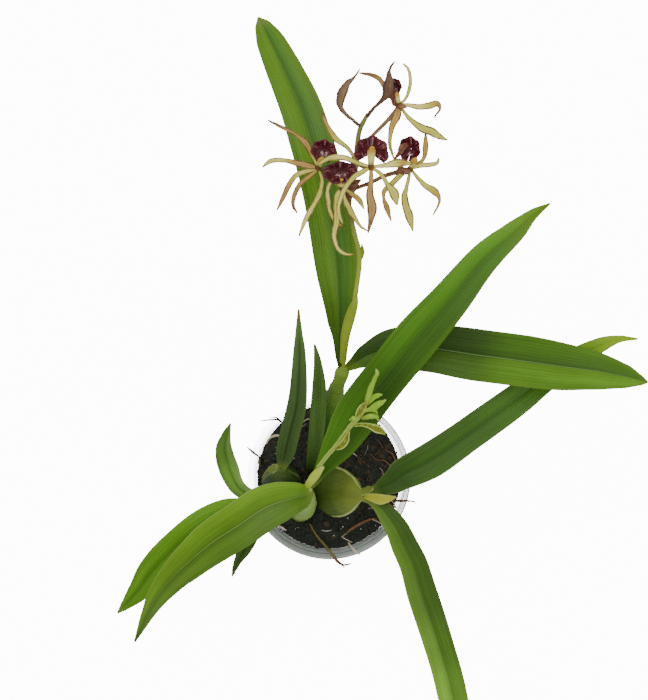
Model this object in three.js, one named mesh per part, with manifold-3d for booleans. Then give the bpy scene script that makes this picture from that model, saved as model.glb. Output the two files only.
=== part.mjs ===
// Potted clamshell orchid: a translucent nursery pot of bark, bulbs with strap leaves, a leaning stem
// with dark shell-lipped blooms, and a young green spike.
// Millimetres, +Z up, origin at the centre of the pot's base.
import * as THREE from 'three';
import { mergeVertices } from 'three/addons/utils/BufferGeometryUtils.js';
import Module from 'manifold-3d';

const wasm = await Module();
wasm.setup();

// Driving dimensions
const POT_HEIGHT = 105;
const POT_RIM_RADIUS = 60;
const POT_BASE_RADIUS = 43;
const WALL = 1;
const FLOOR = 1.2;
const RIM_BAND = 5;
const RIM_OVERHANG = 4;
const EDGE_ROUND = 0.8;
const SOIL_LEVEL = 93;
const CLEARANCE = 0.3;
const APEX_CLEARANCE = 0.5;
const LEAF_THICKNESS = 1;
const SEGMENT_THICKNESS = 0.8;
const LIP_THICKNESS = 0.7;
const DRAIN_RADIUS = 4;
const DRAIN_CIRCLE = 30;
const DRAIN_COUNT = 8;
const POT_SIDES = 36;
const SOIL_RINGS = 6;
const SOIL_SIDES = 30;
const BARK_RELIEF = 1.1;
const LIP_MOUTH = 0.12;
const LIP_SWEEP = 128;
const LIP_SCALLOP = 0.05;

const group = new THREE.Group();

const FINISH = {
  pot: { color: 0xdfe6ea, roughness: 0.35 },
  soil: { color: 0x2b1d1a, roughness: 0.95 },
  bulb: { color: 0x5f7333, roughness: 0.5 },
  leaf: { color: 0x467d23, roughness: 0.45 },
  leafDark: { color: 0x2d5a28, roughness: 0.45 },
  sheath: { color: 0xa7a860, roughness: 0.7 },
  stem: { color: 0x7d8f3c, roughness: 0.5 },
  petal: { color: 0xd7d796, roughness: 0.5 },
  lip: { color: 0x5a1e2d, roughness: 0.3 },
  bud: { color: 0x7a5a48, roughness: 0.6 },
  spike: { color: 0x9ab554, roughness: 0.5 },
  root: { color: 0xb58a55, roughness: 0.8 },
};

// Names a closed body, gives it its finish and hangs it in the group.
function addPiece(name, geometry, finish) {
  const material = new THREE.MeshStandardMaterial({ ...FINISH[finish], metalness: 0 });
  const mesh = new THREE.Mesh(geometry, material);
  mesh.name = name;
  group.add(mesh);
}

function toManifold(geometry) {
  const bare = geometry.clone();
  bare.deleteAttribute('normal');
  bare.deleteAttribute('uv');
  const merged = mergeVertices(bare, 1e-4);
  const vertProperties = new Float32Array(merged.attributes.position.array);
  const triVerts = new Uint32Array(merged.index.array);
  return new wasm.Manifold(new wasm.Mesh({ numProp: 3, vertProperties, triVerts }));
}

function toGeometry(manifold) {
  const mesh = manifold.getMesh();
  const geometry = new THREE.BufferGeometry();
  geometry.setAttribute('position', new THREE.BufferAttribute(Float32Array.from(mesh.vertProperties), 3));
  geometry.setIndex(new THREE.BufferAttribute(Uint32Array.from(mesh.triVerts), 1));
  return geometry;
}

// Joins grown-together bodies into one solid.
function fuse(geometries) {
  const solids = geometries.map(toManifold);
  return toGeometry(solids.reduce((whole, part) => whole.add(part)));
}

// Cuts clearance bodies out of a piece and keeps its largest body.
function carve(geometry, cutters) {
  const solids = cutters.map(toManifold);
  const bodies = solids.reduce((whole, cutter) => whole.subtract(cutter), toManifold(geometry)).decompose();
  return toGeometry(bodies.reduce((best, body) => (body.volume() > best.volume() ? body : best)));
}

// A closed slab over a grid. at(u, v) gives { point, out }, where out is half the thickness as a vector.
// Both faces are split into triangles alike.
function slab(alongSteps, acrossSteps, at) {
  const rows = alongSteps + 1;
  const columns = acrossSteps + 1;
  const positions = [];
  for (const side of [1, -1]) {
    for (let i = 0; i < rows; i++) {
      for (let j = 0; j < columns; j++) {
        const { point, out } = at(i / alongSteps, j / acrossSteps);
        positions.push(...point.clone().addScaledVector(out, side).toArray());
      }
    }
  }
  const top = (i, j) => i * columns + j;
  const bottom = (i, j) => rows * columns + top(i, j);
  const index = [];
  for (let i = 0; i < alongSteps; i++) {
    for (let j = 0; j < acrossSteps; j++) {
      index.push(top(i, j), top(i, j + 1), top(i + 1, j + 1), top(i, j), top(i + 1, j + 1), top(i + 1, j));
      index.push(bottom(i, j), bottom(i + 1, j + 1), bottom(i, j + 1));
      index.push(bottom(i, j), bottom(i + 1, j), bottom(i + 1, j + 1));
    }
  }
  const wall = (a, b) => {
    index.push(top(...a), bottom(...b), top(...b), top(...a), bottom(...a), bottom(...b));
  };
  for (let i = 0; i < alongSteps; i++) {
    wall([i + 1, 0], [i, 0]);
    wall([i, acrossSteps], [i + 1, acrossSteps]);
  }
  for (let j = 0; j < acrossSteps; j++) {
    wall([0, j], [0, j + 1]);
    wall([alongSteps, j + 1], [alongSteps, j]);
  }
  const geometry = new THREE.BufferGeometry();
  geometry.setAttribute('position', new THREE.Float32BufferAttribute(positions, 3));
  geometry.setIndex(index);
  return geometry;
}

// Smooth values along hand-placed stations [x, y, z, width, roll in degrees].
function stationCurves(stations) {
  const centre = new THREE.CatmullRomCurve3(stations.map(([x, y, z]) => new THREE.Vector3(x, y, z)));
  const shape = stations.map(([, , , width, roll = 0]) => new THREE.Vector3(width, roll, 0));
  return { centre, shape: new THREE.CatmullRomCurve3(shape, false, 'catmullrom', 0.4) };
}

// How far a grown body reaches past its first and last station.
function endGrowth(u, grow) {
  if (u === 0) return -grow;
  return u === 1 ? grow : 0;
}

// A strap leaf or petal segment along its stations. fold lifts the margins (as a share of half the width),
// and face is the direction that its upper side looks to.
function blade(stations, options = {}) {
  const { fold = 0.15, steps = 16, across = 4, thickness = LEAF_THICKNESS } = options;
  const { face = [0, 0, 1], grow = 0 } = options;
  const { centre, shape } = stationCurves(stations);
  const faceWay = new THREE.Vector3(...face).normalize();
  return slab(steps, across, (u, v) => {
    const tangent = centre.getTangent(u);
    const section = shape.getPoint(u);
    const normal = faceWay.clone().addScaledVector(tangent, -faceWay.dot(tangent)).normalize();
    normal.applyAxisAngle(tangent, THREE.MathUtils.degToRad(section.y));
    const sideways = tangent.clone().cross(normal);
    const side = 2 * v - 1;
    const half = Math.max(section.x, thickness) / 2 + grow;
    const point = centre.getPoint(u).addScaledVector(sideways, side * half);
    point.addScaledVector(normal, fold * half * Math.abs(side));
    point.addScaledVector(tangent, endGrowth(u, grow));
    return { point, out: normal.multiplyScalar(thickness / 2 + grow) };
  });
}

// A round or flattened body along stations [x, y, z, width].
// flat squeezes it along face, and grow adds clearance all round.
function limb(stations, options = {}) {
  const { sides = 10, steps = 10, flat = 1, face = [0, 0, 1], grow = 0 } = options;
  const { centre, shape } = stationCurves(stations);
  const faceWay = new THREE.Vector3(...face).normalize();
  const positions = [];
  for (let i = 0; i <= steps; i++) {
    const u = i / steps;
    const tangent = centre.getTangent(u);
    const normal = faceWay.clone().addScaledVector(tangent, -faceWay.dot(tangent)).normalize();
    const sideways = tangent.clone().cross(normal);
    const radius = shape.getPoint(u).x / 2;
    for (let k = 0; k < sides; k++) {
      const angle = (2 * Math.PI * k) / sides;
      const point = centre.getPoint(u).addScaledVector(tangent, endGrowth(u, grow));
      point.addScaledVector(sideways, (radius + grow) * Math.cos(angle));
      point.addScaledVector(normal, (radius * flat + grow) * Math.sin(angle));
      positions.push(...point.toArray());
    }
  }
  const first = positions.length / 3;
  const startOut = centre.getTangent(0).multiplyScalar(-grow);
  const endOut = centre.getTangent(1).multiplyScalar(grow);
  positions.push(...centre.getPoint(0).add(startOut).toArray(), ...centre.getPoint(1).add(endOut).toArray());
  const index = [];
  for (let k = 0; k < sides; k++) {
    const next = (k + 1) % sides;
    index.push(first, k, next, first + 1, steps * sides + next, steps * sides + k);
    for (let i = 0; i < steps; i++) {
      const a = i * sides + k;
      const b = i * sides + next;
      index.push(a, b + sides, b, a, a + sides, b + sides);
    }
  }
  const geometry = new THREE.BufferGeometry();
  geometry.setAttribute('position', new THREE.Float32BufferAttribute(positions, 3));
  geometry.setIndex(index);
  return geometry;
}

// Pot and soil
function potRadiusInside(z) {
  const share = z / (POT_HEIGHT - RIM_BAND);
  return POT_BASE_RADIUS - WALL + share * (POT_RIM_RADIUS - RIM_OVERHANG - POT_BASE_RADIUS);
}

function makePot() {
  const shoulder = POT_HEIGHT - RIM_BAND;
  const wallTop = potRadiusInside(shoulder) + WALL;
  const outside = [
    [0, 0], [POT_BASE_RADIUS - EDGE_ROUND, 0], [POT_BASE_RADIUS, EDGE_ROUND], [wallTop, shoulder - WALL],
    [POT_RIM_RADIUS - EDGE_ROUND, shoulder - EDGE_ROUND], [POT_RIM_RADIUS, shoulder],
    [POT_RIM_RADIUS, POT_HEIGHT - EDGE_ROUND], [POT_RIM_RADIUS - EDGE_ROUND, POT_HEIGHT],
  ];
  const inside = [
    [POT_RIM_RADIUS - 2 * EDGE_ROUND, POT_HEIGHT], [wallTop + WALL / 2, shoulder + WALL],
    [wallTop - WALL, shoulder - WALL], [potRadiusInside(FLOOR), FLOOR], [0, FLOOR],
  ];
  const profile = [...outside, ...inside].map(([r, z]) => new THREE.Vector2(r, z));
  const shell = new THREE.LatheGeometry(profile, POT_SIDES).rotateX(Math.PI / 2);
  const drains = Array.from({ length: DRAIN_COUNT }, (_, k) => {
    const angle = (2 * Math.PI * k) / DRAIN_COUNT;
    const drain = new THREE.CylinderGeometry(DRAIN_RADIUS, DRAIN_RADIUS, 4 * FLOOR, 10).rotateX(Math.PI / 2);
    return drain.translate(DRAIN_CIRCLE * Math.cos(angle), DRAIN_CIRCLE * Math.sin(angle), FLOOR / 2);
  });
  return carve(shell, drains);
}

// Lumps of bark: a few crossed waves that die out at the wall.
function barkHeight(x, y) {
  const edge = Math.hypot(x, y) / potRadiusInside(SOIL_LEVEL);
  const lumps = Math.sin(0.31 * x + 1.3) * Math.cos(0.27 * y) + 0.7 * Math.sin(0.63 * x - 0.49 * y);
  return SOIL_LEVEL + BARK_RELIEF * lumps * (1 - edge ** 4);
}

function makeSoil() {
  const profile = [[0, FLOOR + CLEARANCE], [potRadiusInside(FLOOR) - CLEARANCE, FLOOR + CLEARANCE]];
  for (let i = SOIL_RINGS; i >= 0; i--) {
    profile.push([((potRadiusInside(SOIL_LEVEL) - CLEARANCE) * i) / SOIL_RINGS, SOIL_LEVEL]);
  }
  const soil = new THREE.LatheGeometry(profile.map(([r, z]) => new THREE.Vector2(r, z)), SOIL_SIDES);
  soil.rotateX(Math.PI / 2);
  const place = soil.attributes.position;
  for (let i = 0; i < place.count; i++) {
    if (place.getZ(i) > SOIL_LEVEL - 1) place.setZ(i, barkHeight(place.getX(i), place.getY(i)));
  }
  return soil;
}

// Bulbs: stations run from the foot in the soil to the apex.
const BULBS = {
  bulb_north: {
    stations: [[-6.5, 13, 84, 10], [-6, 18, 93, 15], [-2, 36, 118, 19], [1, 53, 146, 17],
      [4.5, 66, 169, 11], [6, 71, 177, 9], [9, 79, 185, 10], [10, 82, 188, 6]],
  },
  bulb_centre: {
    stations: [[-20, -29, 84, 11], [-21, -25.5, 93, 16], [-20, -19.5, 115, 20.5], [-18, -12.5, 140, 17],
      [-16, -5, 159, 9], [-15.5, -2, 165, 7]],
  },
  bulb_east: {
    stations: [[-5, -11, 84, 20], [-3, -10.5, 95, 29], [3, -9.3, 112, 35], [10, -8.4, 130, 33],
      [16.5, -7.8, 143, 24.5], [21, -8, 149, 12.5], [23, -8, 151, 8]],
    flat: 0.64,
    face: [1, 0, 0],
  },
  bulb_west: {
    stations: [[-36.5, -7.5, 84, 18], [-35.5, -4, 98, 27.5], [-34.5, 2, 116, 25], [-34, 7, 128, 11],
      [-34, 8, 131, 7.5]],
    flat: 0.75,
    face: [0, 1, 0],
  },
  bulb_far_west: {
    stations: [[-41, -22, 84, 8], [-42.5, -21, 96, 12], [-45.5, -19, 108, 7.5], [-46.5, -18, 112, 5]],
  },
};

function makeBulb({ stations, flat, face = [0, 1, 0] }, grow = 0) {
  return limb(stations, { sides: 12, steps: 9, flat, face, grow });
}

// Leaves: stations [x, y, z, width, roll], from the base to the tip.
const LEAVES = {
  leaf_north: {
    seat: 'bulb_north',
    beside: ['stem'],
    stations: [[8.5, 81, 186.5, 4], [6.6, 90, 192, 5], [6.6, 101, 197.5, 8.4], [7, 114, 205, 17],
      [5, 147, 222, 28], [0.5, 179, 233, 29.5], [-5, 204, 239, 29], [-12, 229, 242, 28],
      [-19, 251, 241, 26.5], [-28, 272, 237, 24], [-38, 294, 230, 19], [-44, 307, 224, 10.5],
      [-47, 313, 222, 1.3]],
    fold: 0.2,
  },
  leaf_east: {
    seat: 'bulb_north',
    beside: ['stem'],
    stations: [[10.5, 81, 186, 4], [16, 84.5, 189, 8], [25, 90, 192, 16], [42, 95, 196, 27.5],
      [70, 95, 198, 32], [98, 91, 198, 35.5], [129, 87, 195, 35], [157, 83, 190, 32.5],
      [181, 80, 184, 26.5], [203, 76, 178, 16.5], [215, 73, 174, 7], [220, 72, 172, 1.4]],
    fold: 0.12,
  },
  leaf_northeast: {
    seat: 'bulb_centre',
    beside: ['sheath'],
    stations: [[-14.5, -2, 163.5, 4], [-9.5, 4.5, 171, 6.5], [-4, 14, 178, 11.5], [7, 31, 190, 22.5],
      [19, 52, 203, 29], [38, 78, 217, 29.5], [56, 101, 229, 29.5], [78, 127, 240, 25.5],
      [99, 153, 247, 20], [118, 170, 250, 14], [130, 181, 250, 7], [141, 188, 248, 1.3]],
    fold: 0.18,
  },
  leaf_low_east: {
    seat: 'bulb_east',
    stations: [[23.6, -5.8, 150.5, 4], [27.5, -4.8, 153.5, 5], [32.5, -3.6, 156.5, 7],
      [38.4, -1.2, 159, 12.5], [45.5, 2.9, 161, 17.5], [51.5, 7.6, 162.5, 21.8],
      [71, 18, 166, 25], [98, 37, 169, 23.5], [130, 60, 169, 22], [152, 77, 168, 19.5],
      [173, 89, 165, 15.5], [190, 98, 161, 10.5], [204, 102, 157, 5], [217, 102, 153, 1.4]],
    fold: 0.15,
  },
  leaf_southeast: {
    seat: 'bulb_east',
    beside: ['low_east'],
    stations: [[23.4, -10.6, 150.5, 4], [28, -11.2, 153, 5.5], [32, -12.8, 155, 8],
      [36, -15.8, 156.5, 10.4], [42.5, -23.6, 158.5, 14.4], [47.7, -31.4, 159.5, 16.6],
      [53, -43.3, 159, 18.9], [59, -56, 158, 20.3], [65, -76, 154, 21.5], [72, -97, 148, 21.5],
      [79, -119, 141, 21.5], [85, -139, 133, 21.5], [90, -159, 125, 21], [97, -181, 116, 17],
      [102, -198, 109, 9.5], [104, -208, 105, 1.5]],
    fold: 0.15,
  },
  leaf_southwest: {
    seat: 'bulb_centre',
    beside: ['sheath', 'northeast'],
    stations: [[-11.6, -5.8, 163.5, 3], [-14, -6, 166.5, 10], [-18, -6.8, 170.5, 16.5],
      [-24, -7.6, 174.5, 21.5], [-34, -10.2, 177, 28], [-46, -15, 178, 31.5],
      [-62, -26, 176, 31.5], [-81, -39, 169, 30], [-97, -53, 159, 26],
      [-111, -67, 147, 20.5], [-124, -84, 132, 14.5], [-132, -98, 118, 9.5], [-144, -122, 97, 1.5]],
    fold: 0.1,
  },
  leaf_low_southwest: {
    seat: 'bulb_far_west',
    stations: [[-46.5, -18.3, 111, 3.5], [-51, -19.2, 114, 6], [-59, -20, 118, 13],
      [-75, -24, 125, 21.5], [-93, -34, 130, 24.5], [-114, -52, 124, 24.5], [-129, -68, 115, 22],
      [-141, -84, 106, 16], [-151, -95, 99, 9], [-157, -101, 95, 1.5]],
    fold: 0.15,
  },
  leaf_south: {
    seat: 'bulb_far_west',
    beside: ['low_southwest'],
    stations: [[-46, -18.5, 109.5, 3], [-47.5, -25, 112, 5], [-53, -35, 114, 10], [-61, -50, 112, 9.8],
      [-67.6, -62, 104, 5.4], [-72, -74, 94, 1.2]],
    fold: 0.3,
    steps: 12,
  },
  leaf_west: {
    seat: 'bulb_far_west',
    beside: ['low_southwest'],
    stations: [[-46.5, -17.5, 110.5, 3], [-49, -14, 117, 5], [-57, -11, 126, 9.5], [-66, -3, 136, 11.5],
      [-72, 12, 142, 14.5], [-74, 25, 152, 12], [-72, 35, 158, 6.5], [-69, 43, 162, 1.2]],
    fold: 0.3,
    steps: 14,
  },
  leaf_spear_west: {
    seat: 'bulb_west',
    stations: [[-34, 8, 129.5, 4.5], [-33.3, 11.5, 135, 6.5], [-32, 17, 142, 10.5], [-30, 26, 152, 14],
      [-27, 38, 164, 14], [-23, 53, 178, 13.5], [-21, 68, 192, 12], [-20, 92, 216, 8.5],
      [-20, 107, 233, 4.5], [-20, 120, 248, 1.2]],
    fold: 0.3,
    steps: 16,
  },
  leaf_spear_centre: {
    stations: [[-14, 1, 86, 5], [-13, 8, 112, 7.5], [-10, 27, 142, 10.5], [-8, 49, 166, 11],
      [-7, 70, 184, 9.5], [-8, 86, 197, 5.5], [-10, 98, 206, 1.2]],
    fold: 0.4,
    steps: 14,
  },
};

// The hole in the bark where the young centre leaf comes up
const SPEAR_HOLE = [[-14, 0.8, 84, 8.6], [-13.6, 4.2, 97, 9.4], [-13, 8, 112, 10]];

// Flower stem, spathe and the stalks of the blooms
const STEM = [[10, 82, 186.5, 2.7], [9.4, 86.5, 194.5, 2.7], [10.3, 98, 207, 2.7], [13.4, 114, 222, 2.7],
  [17.6, 136, 240, 3], [18.8, 154.5, 255, 3.2], [15.5, 168, 264, 3], [12, 183, 272, 3],
  [12.5, 193.5, 277, 4.2], [15.5, 206.5, 282, 3], [16.5, 219, 286, 3], [18.5, 230, 289, 3.2],
  [23, 238, 292, 2.8]];
const STEM_BRACT = [[18.5, 151, 252.5, 3], [20.6, 156, 257, 3], [20.2, 161, 261, 0.9]];
const STEM_FORM = { sides: 7, steps: 22 };
const STALKS = {
  middle: [[16, 209, 283, 2.4], [21, 205.8, 294, 2.4], [24.6, 204.9, 300.5, 3]],
  left: [[14, 201, 280, 2.4], [4, 203, 280.5, 2.4], [-4.5, 205, 284, 2.6], [-7.2, 206, 288, 3]],
  lower: [[12.5, 193.5, 277, 2.4], [10, 193, 281, 2.4], [7.5, 193.5, 286, 3]],
  right: [[13, 193.5, 277, 2.6], [23.5, 197, 281, 2.5], [35, 202, 284, 2.8], [44.5, 204.3, 284.8, 3],
    [49, 205, 288.6, 3]],
  top: [[17, 222, 286, 2.5], [23.5, 223.5, 288, 2.5], [28, 227.5, 290, 2.4], [34.5, 234, 290, 2.7],
    [40, 240.3, 290.8, 2.8], [42, 243, 295, 3]],
};
const SPATHE = [[9.1, 86.2, 194.5, 4.4], [9.6, 94.2, 203.5, 5], [10.6, 104.2, 213, 6.2],
  [12.9, 113.9, 222, 6.8], [15, 121, 229.5, 6], [16.8, 126, 235, 3.8], [17.7, 129, 238.4, 1.2]];

// Blooms: heart where the segments meet, column, and segments as stations [x, y, z, width, roll].
const BLOOMS = {
  middle: {
    heart: [24.8, 204.8, 301.5],
    column: [[24.8, 205.5, 301.5, 3.6], [24.9, 209, 304.5, 4.4], [25, 214, 307, 5],
      [25.1, 215.5, 307.5, 4]],
    segments: [
      [[25.5, 205, 301.5, 1.8], [33, 205.5, 303, 3], [41, 207, 304, 5.4, 10], [49.5, 206.5, 303, 1.2]],
      [[24, 205, 301.2, 1.8], [16, 207.5, 301.3, 3], [9, 210, 303, 3.6], [0, 210, 301, 3.6, 20],
        [-8.5, 206, 298, 0.9]],
      [[24, 204.5, 301.5, 1.8], [20, 202, 303, 3.3], [14.5, 198.5, 303, 3.3], [10, 193.5, 302, 3],
        [6, 185, 299, 2.5], [5.5, 178, 295, 2.4, 30], [8, 171, 289, 0.9]],
      [[24.7, 204, 301.5, 2.4], [24.7, 197, 303, 3], [24, 188, 301, 4.8], [25.4, 180.5, 298, 6.2],
        [25, 174.5, 295, 3.8], [23.3, 166, 289, 0.9]],
      [[25.3, 204, 301.5, 1.8], [30, 201, 303, 2.4], [34.5, 194.5, 302, 3], [38.7, 188.7, 300, 6.2],
        [40.6, 182.3, 297, 1.2]],
    ],
    lip: {
      base: [25, 213.2, 302.6], tip: [0.08, 1, 0], face: [0, -0.1, 1],
      width: 20.5, length: 20, depth: 5,
    },
  },
  left: {
    heart: [-7.2, 206, 289],
    column: [[-7, 206.5, 289, 3.4], [-6, 208.5, 292.5, 4], [-5, 210, 296, 4.4], [-4.8, 210.5, 297, 3.4]],
    segments: [
      [[-7.8, 206.8, 289, 1.8], [-11, 213, 291, 2.5], [-14.7, 220, 293, 4.2], [-20.3, 225, 294, 2],
        [-30, 230.5, 292, 2.1], [-38, 235, 289, 0.9]],
      [[-7.8, 206, 289, 1.8], [-13.5, 207, 290, 4.3], [-19.6, 208.3, 290, 3.8], [-27.6, 210.3, 289, 2.8],
        [-36, 210.3, 287, 3.1], [-41.6, 207, 284, 0.9]],
      [[-7.8, 205.5, 288.5, 1.8], [-14.7, 203.7, 288, 3.1], [-20.5, 201.8, 286, 3.2],
        [-25.3, 196, 282, 3.4], [-28.5, 190, 277, 3.1], [-33, 181.7, 271, 0.9]],
      [[-7.4, 205, 288.5, 1.8], [-12.3, 201.2, 286.5, 2.8], [-17.9, 197, 283.5, 3.1],
        [-22, 190, 279.5, 2.9], [-22.9, 184.2, 276, 2.2], [-20.5, 179.4, 274, 0.9]],
      [[-7, 205, 288.5, 1.8], [-5, 198.5, 285.5, 2.5], [-6.5, 190.5, 281.5, 3.1],
        [-10.5, 183.5, 277, 3.1], [-15, 176, 272, 3.1], [-19.4, 165.8, 266, 0.9]],
    ],
    lip: {
      base: [-3.7, 215.6, 295.5], tip: [0.1, 0.8, 0.45], face: [-0.15, -0.5, 0.85],
      width: 15.6, length: 14.6, depth: 4.5, sweep: 155,
    },
  },
  lower: {
    heart: [7.5, 193.5, 286.5],
    column: [[7.5, 194, 286.5, 3.6], [7.2, 196.5, 289.5, 4.4], [6.8, 199.5, 292.4, 5], [6.6, 201, 293, 4]],
    segments: [
      [[6.8, 194, 286.5, 1.8], [1, 197.5, 286.5, 2.4], [-1.4, 193, 283.5, 2.5], [-1, 187, 279.5, 2.8],
        [0, 180.5, 274, 2.5], [3.8, 174, 270, 1.9], [8.5, 171.5, 268, 0.9]],
      [[6.8, 193, 286, 2.5], [4.4, 189, 284.5, 3.8], [4.2, 181.5, 280.5, 4.4], [4, 173, 276, 4.4],
        [2.6, 165, 270, 3.1], [5.5, 157.5, 265, 2.5], [11, 154.5, 261, 1.9], [16, 155, 259.5, 0.9]],
      [[7.8, 193, 286, 1.8], [9, 188, 284.5, 2.5], [11.3, 182.6, 281, 4.3], [15, 176.8, 277, 3.1],
        [19.4, 171, 273, 1.7], [23.8, 168.6, 271, 0.9]],
      [[8.2, 194.2, 286.3, 1.8], [14, 199, 286.5, 2.5], [16, 208, 289.5, 2.4], [11, 216.5, 297, 2.4],
        [4, 221.5, 300.5, 3.6], [-0.7, 228, 303, 2.7], [-5, 237, 304, 0.9]],
      [[8.3, 193.5, 286.5, 1.8], [13, 190.5, 286, 3], [18, 186.5, 284, 3.4], [21, 181.5, 281, 0.9]],
    ],
    lip: {
      base: [6.4, 202.6, 293.4], tip: [-0.05, 0.85, 0.3], face: [0, -0.3, 0.95],
      width: 21.5, length: 13.8, depth: 5.5, sweep: 152,
    },
  },
  right: {
    heart: [49, 205, 290],
    column: [[49.5, 205.5, 290, 3.4], [50.5, 208, 293, 4], [51.5, 209.5, 296.5, 4.4],
      [51.6, 210, 297.5, 3.4]],
    segments: [
      [[49.8, 205.3, 290, 1.8], [55, 206.8, 292, 3], [61, 207.1, 294, 3], [65, 208, 295, 2.4],
        [66.2, 211, 296, 0.9]],
      [[49.6, 204.5, 290, 1.8], [53.8, 199.5, 289.5, 2.5], [58.6, 194.8, 288, 3.7],
        [63.7, 192, 286, 4.9], [67.1, 188.6, 283, 2.6], [67.4, 185, 281, 1.5], [64, 178, 277, 0.9]],
      [[48.8, 204.4, 289.5, 1.8], [48.4, 200.5, 289, 2.2], [47, 194.2, 286, 2.6], [46, 189.2, 283, 4.3],
        [47, 183.4, 279, 5], [49.2, 177.6, 275, 5.4], [52, 168.8, 268, 0.9]],
      [[48.5, 205, 290.5, 1.8], [43.5, 201.5, 291, 3.4], [38, 196, 290, 3.6], [33.5, 192, 287, 3],
        [33, 188, 284, 2], [35, 182.7, 280, 3.7], [38, 174.5, 275, 0.9]],
      [[49.8, 205.8, 290, 1.8], [57, 211, 289.5, 2.4], [58.5, 219, 289, 3.7], [58.5, 226.4, 289, 1.4]],
    ],
    lip: {
      base: [48.7, 216.8, 293], tip: [0.1, 0.95, 0.2], face: [-0.35, -0.2, 0.9],
      width: 13.2, length: 14.6, depth: 5, sweep: 150,
    },
  },
  top: {
    heart: [42, 243, 296.5],
    column: [[42, 243.5, 296.5, 3.2], [41.2, 246, 297.5, 3.6], [40.6, 249, 298.5, 4],
      [40.5, 250, 298.8, 3.2]],
    segments: [
      [[42.6, 243.6, 296.8, 1.8], [46, 247, 298, 1.9], [48, 252.5, 300, 2.2], [48.5, 257.5, 301, 2.2],
        [47.1, 264, 302, 1.8], [44, 267.3, 302, 0.9]],
      [[42.8, 243, 296.5, 1.8], [46.7, 243, 297, 2.4], [53.7, 241.8, 297, 3.6], [60.2, 242.8, 295, 4.3],
        [65.3, 244.3, 293, 3.7], [67.2, 241.9, 291, 1.6], [63.7, 236.6, 289, 0.9]],
      [[42.6, 242.4, 296, 1.8], [46.8, 236.7, 295, 2.4], [51.2, 232.6, 294, 3.7],
        [56.2, 229.5, 292, 5.2], [62.2, 227.8, 289, 5.5], [67, 225.5, 286, 3.7], [72.2, 223.7, 283, 0.9]],
      [[42, 242, 296, 2.4], [40.5, 236.5, 296.5, 5.4], [38, 231, 295.5, 4], [36.8, 225.8, 293, 2.8],
        [36.7, 219.4, 290, 2.2], [39.4, 211.3, 286, 0.9]],
      [[41.2, 243.4, 296.6, 1.8], [37.5, 247.5, 295, 2.4], [33.5, 254, 293.5, 3], [30, 259.5, 293, 3],
        [25.6, 261.8, 293, 2.7], [17.7, 263.4, 292, 0.9]],
    ],
    lip: {
      base: [39.4, 254, 299.1], tip: [-0.15, 0.95, 0.1], face: [-0.3, -0.2, 0.9],
      width: 8.6, length: 9.6, depth: 3, sweep: 150,
    },
  },
};

// A shell-shaped lip: a horseshoe that opens round the column, cupped towards its face.
function makeLip({ base, tip, face, width, length, depth, sweep = LIP_SWEEP }) {
  const ahead = new THREE.Vector3(...tip).normalize();
  const out = new THREE.Vector3(...face);
  out.addScaledVector(ahead, -out.dot(ahead)).normalize();
  const across = out.clone().cross(ahead);
  const half = THREE.MathUtils.degToRad(sweep);
  return slab(10, 4, (u, v) => {
    const angle = half * (2 * u - 1);
    const reach = LIP_MOUTH + (1 - LIP_MOUTH) * v;
    const scallop = 1 + LIP_SCALLOP * v * Math.cos(7 * angle);
    const point = new THREE.Vector3(...base);
    point.addScaledVector(across, (width / 2) * reach * scallop * Math.sin(angle));
    point.addScaledVector(ahead, (length / 2) * reach * scallop * Math.cos(angle));
    point.addScaledVector(out, depth * (reach ** 2 - 0.55));
    const cup = -0.7 * reach;
    const outward = out.clone().addScaledVector(across, cup * Math.sin(angle));
    outward.addScaledVector(ahead, cup * Math.cos(angle)).normalize();
    return { point, out: outward.multiplyScalar(LIP_THICKNESS / 2) };
  });
}

function makeColumn({ column }, grow = 0) {
  return limb(column, { sides: 8, steps: 5, face: [0, 1, 0.3], grow });
}

// The swollen seat where the segments and column of a bloom meet its stalk: rise and width
const HEART_SECTIONS = [[-2, 1.6], [-1, 3.4], [0.8, 3.4], [1.6, 1.6]];

function makeHeart({ heart: [x, y, z] }, grow = 0) {
  const stations = HEART_SECTIONS.map(([rise, width]) => [x, y, z + rise, width]);
  return limb(stations, { sides: 8, steps: 4, face: [0, 1, 0], grow });
}

function makeBloom(bloom) {
  const parts = [makeHeart(bloom), makeColumn(bloom)];
  for (const stations of bloom.segments) {
    parts.push(blade(stations, { steps: 7, across: 2, fold: 0.25, thickness: SEGMENT_THICKNESS }));
  }
  return fuse(parts);
}

// Two brown buds with long beaks at the tip of the stem
const BUDS = {
  bud_left: [[18.6, 231, 289.5, 2], [14, 234, 296, 2.1], [9.7, 237, 299, 2.2], [6.3, 241.2, 301, 3.2],
    [6.3, 245.4, 303, 5.2], [7.7, 249.6, 305, 5.8], [10.4, 254.5, 306, 3.6], [14.3, 258, 307, 1.8],
    [18, 263, 308, 0.8]],
  bud_right: [[22, 236.5, 291.5, 2], [27, 241.5, 298, 2.1], [31, 244.8, 301, 2.5], [34, 248.5, 304, 5],
    [34.8, 252.5, 306, 6.2], [35.3, 257.5, 308, 4.2], [35.6, 262.5, 310, 1.6], [38.8, 267, 311, 0.8]],
};

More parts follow.
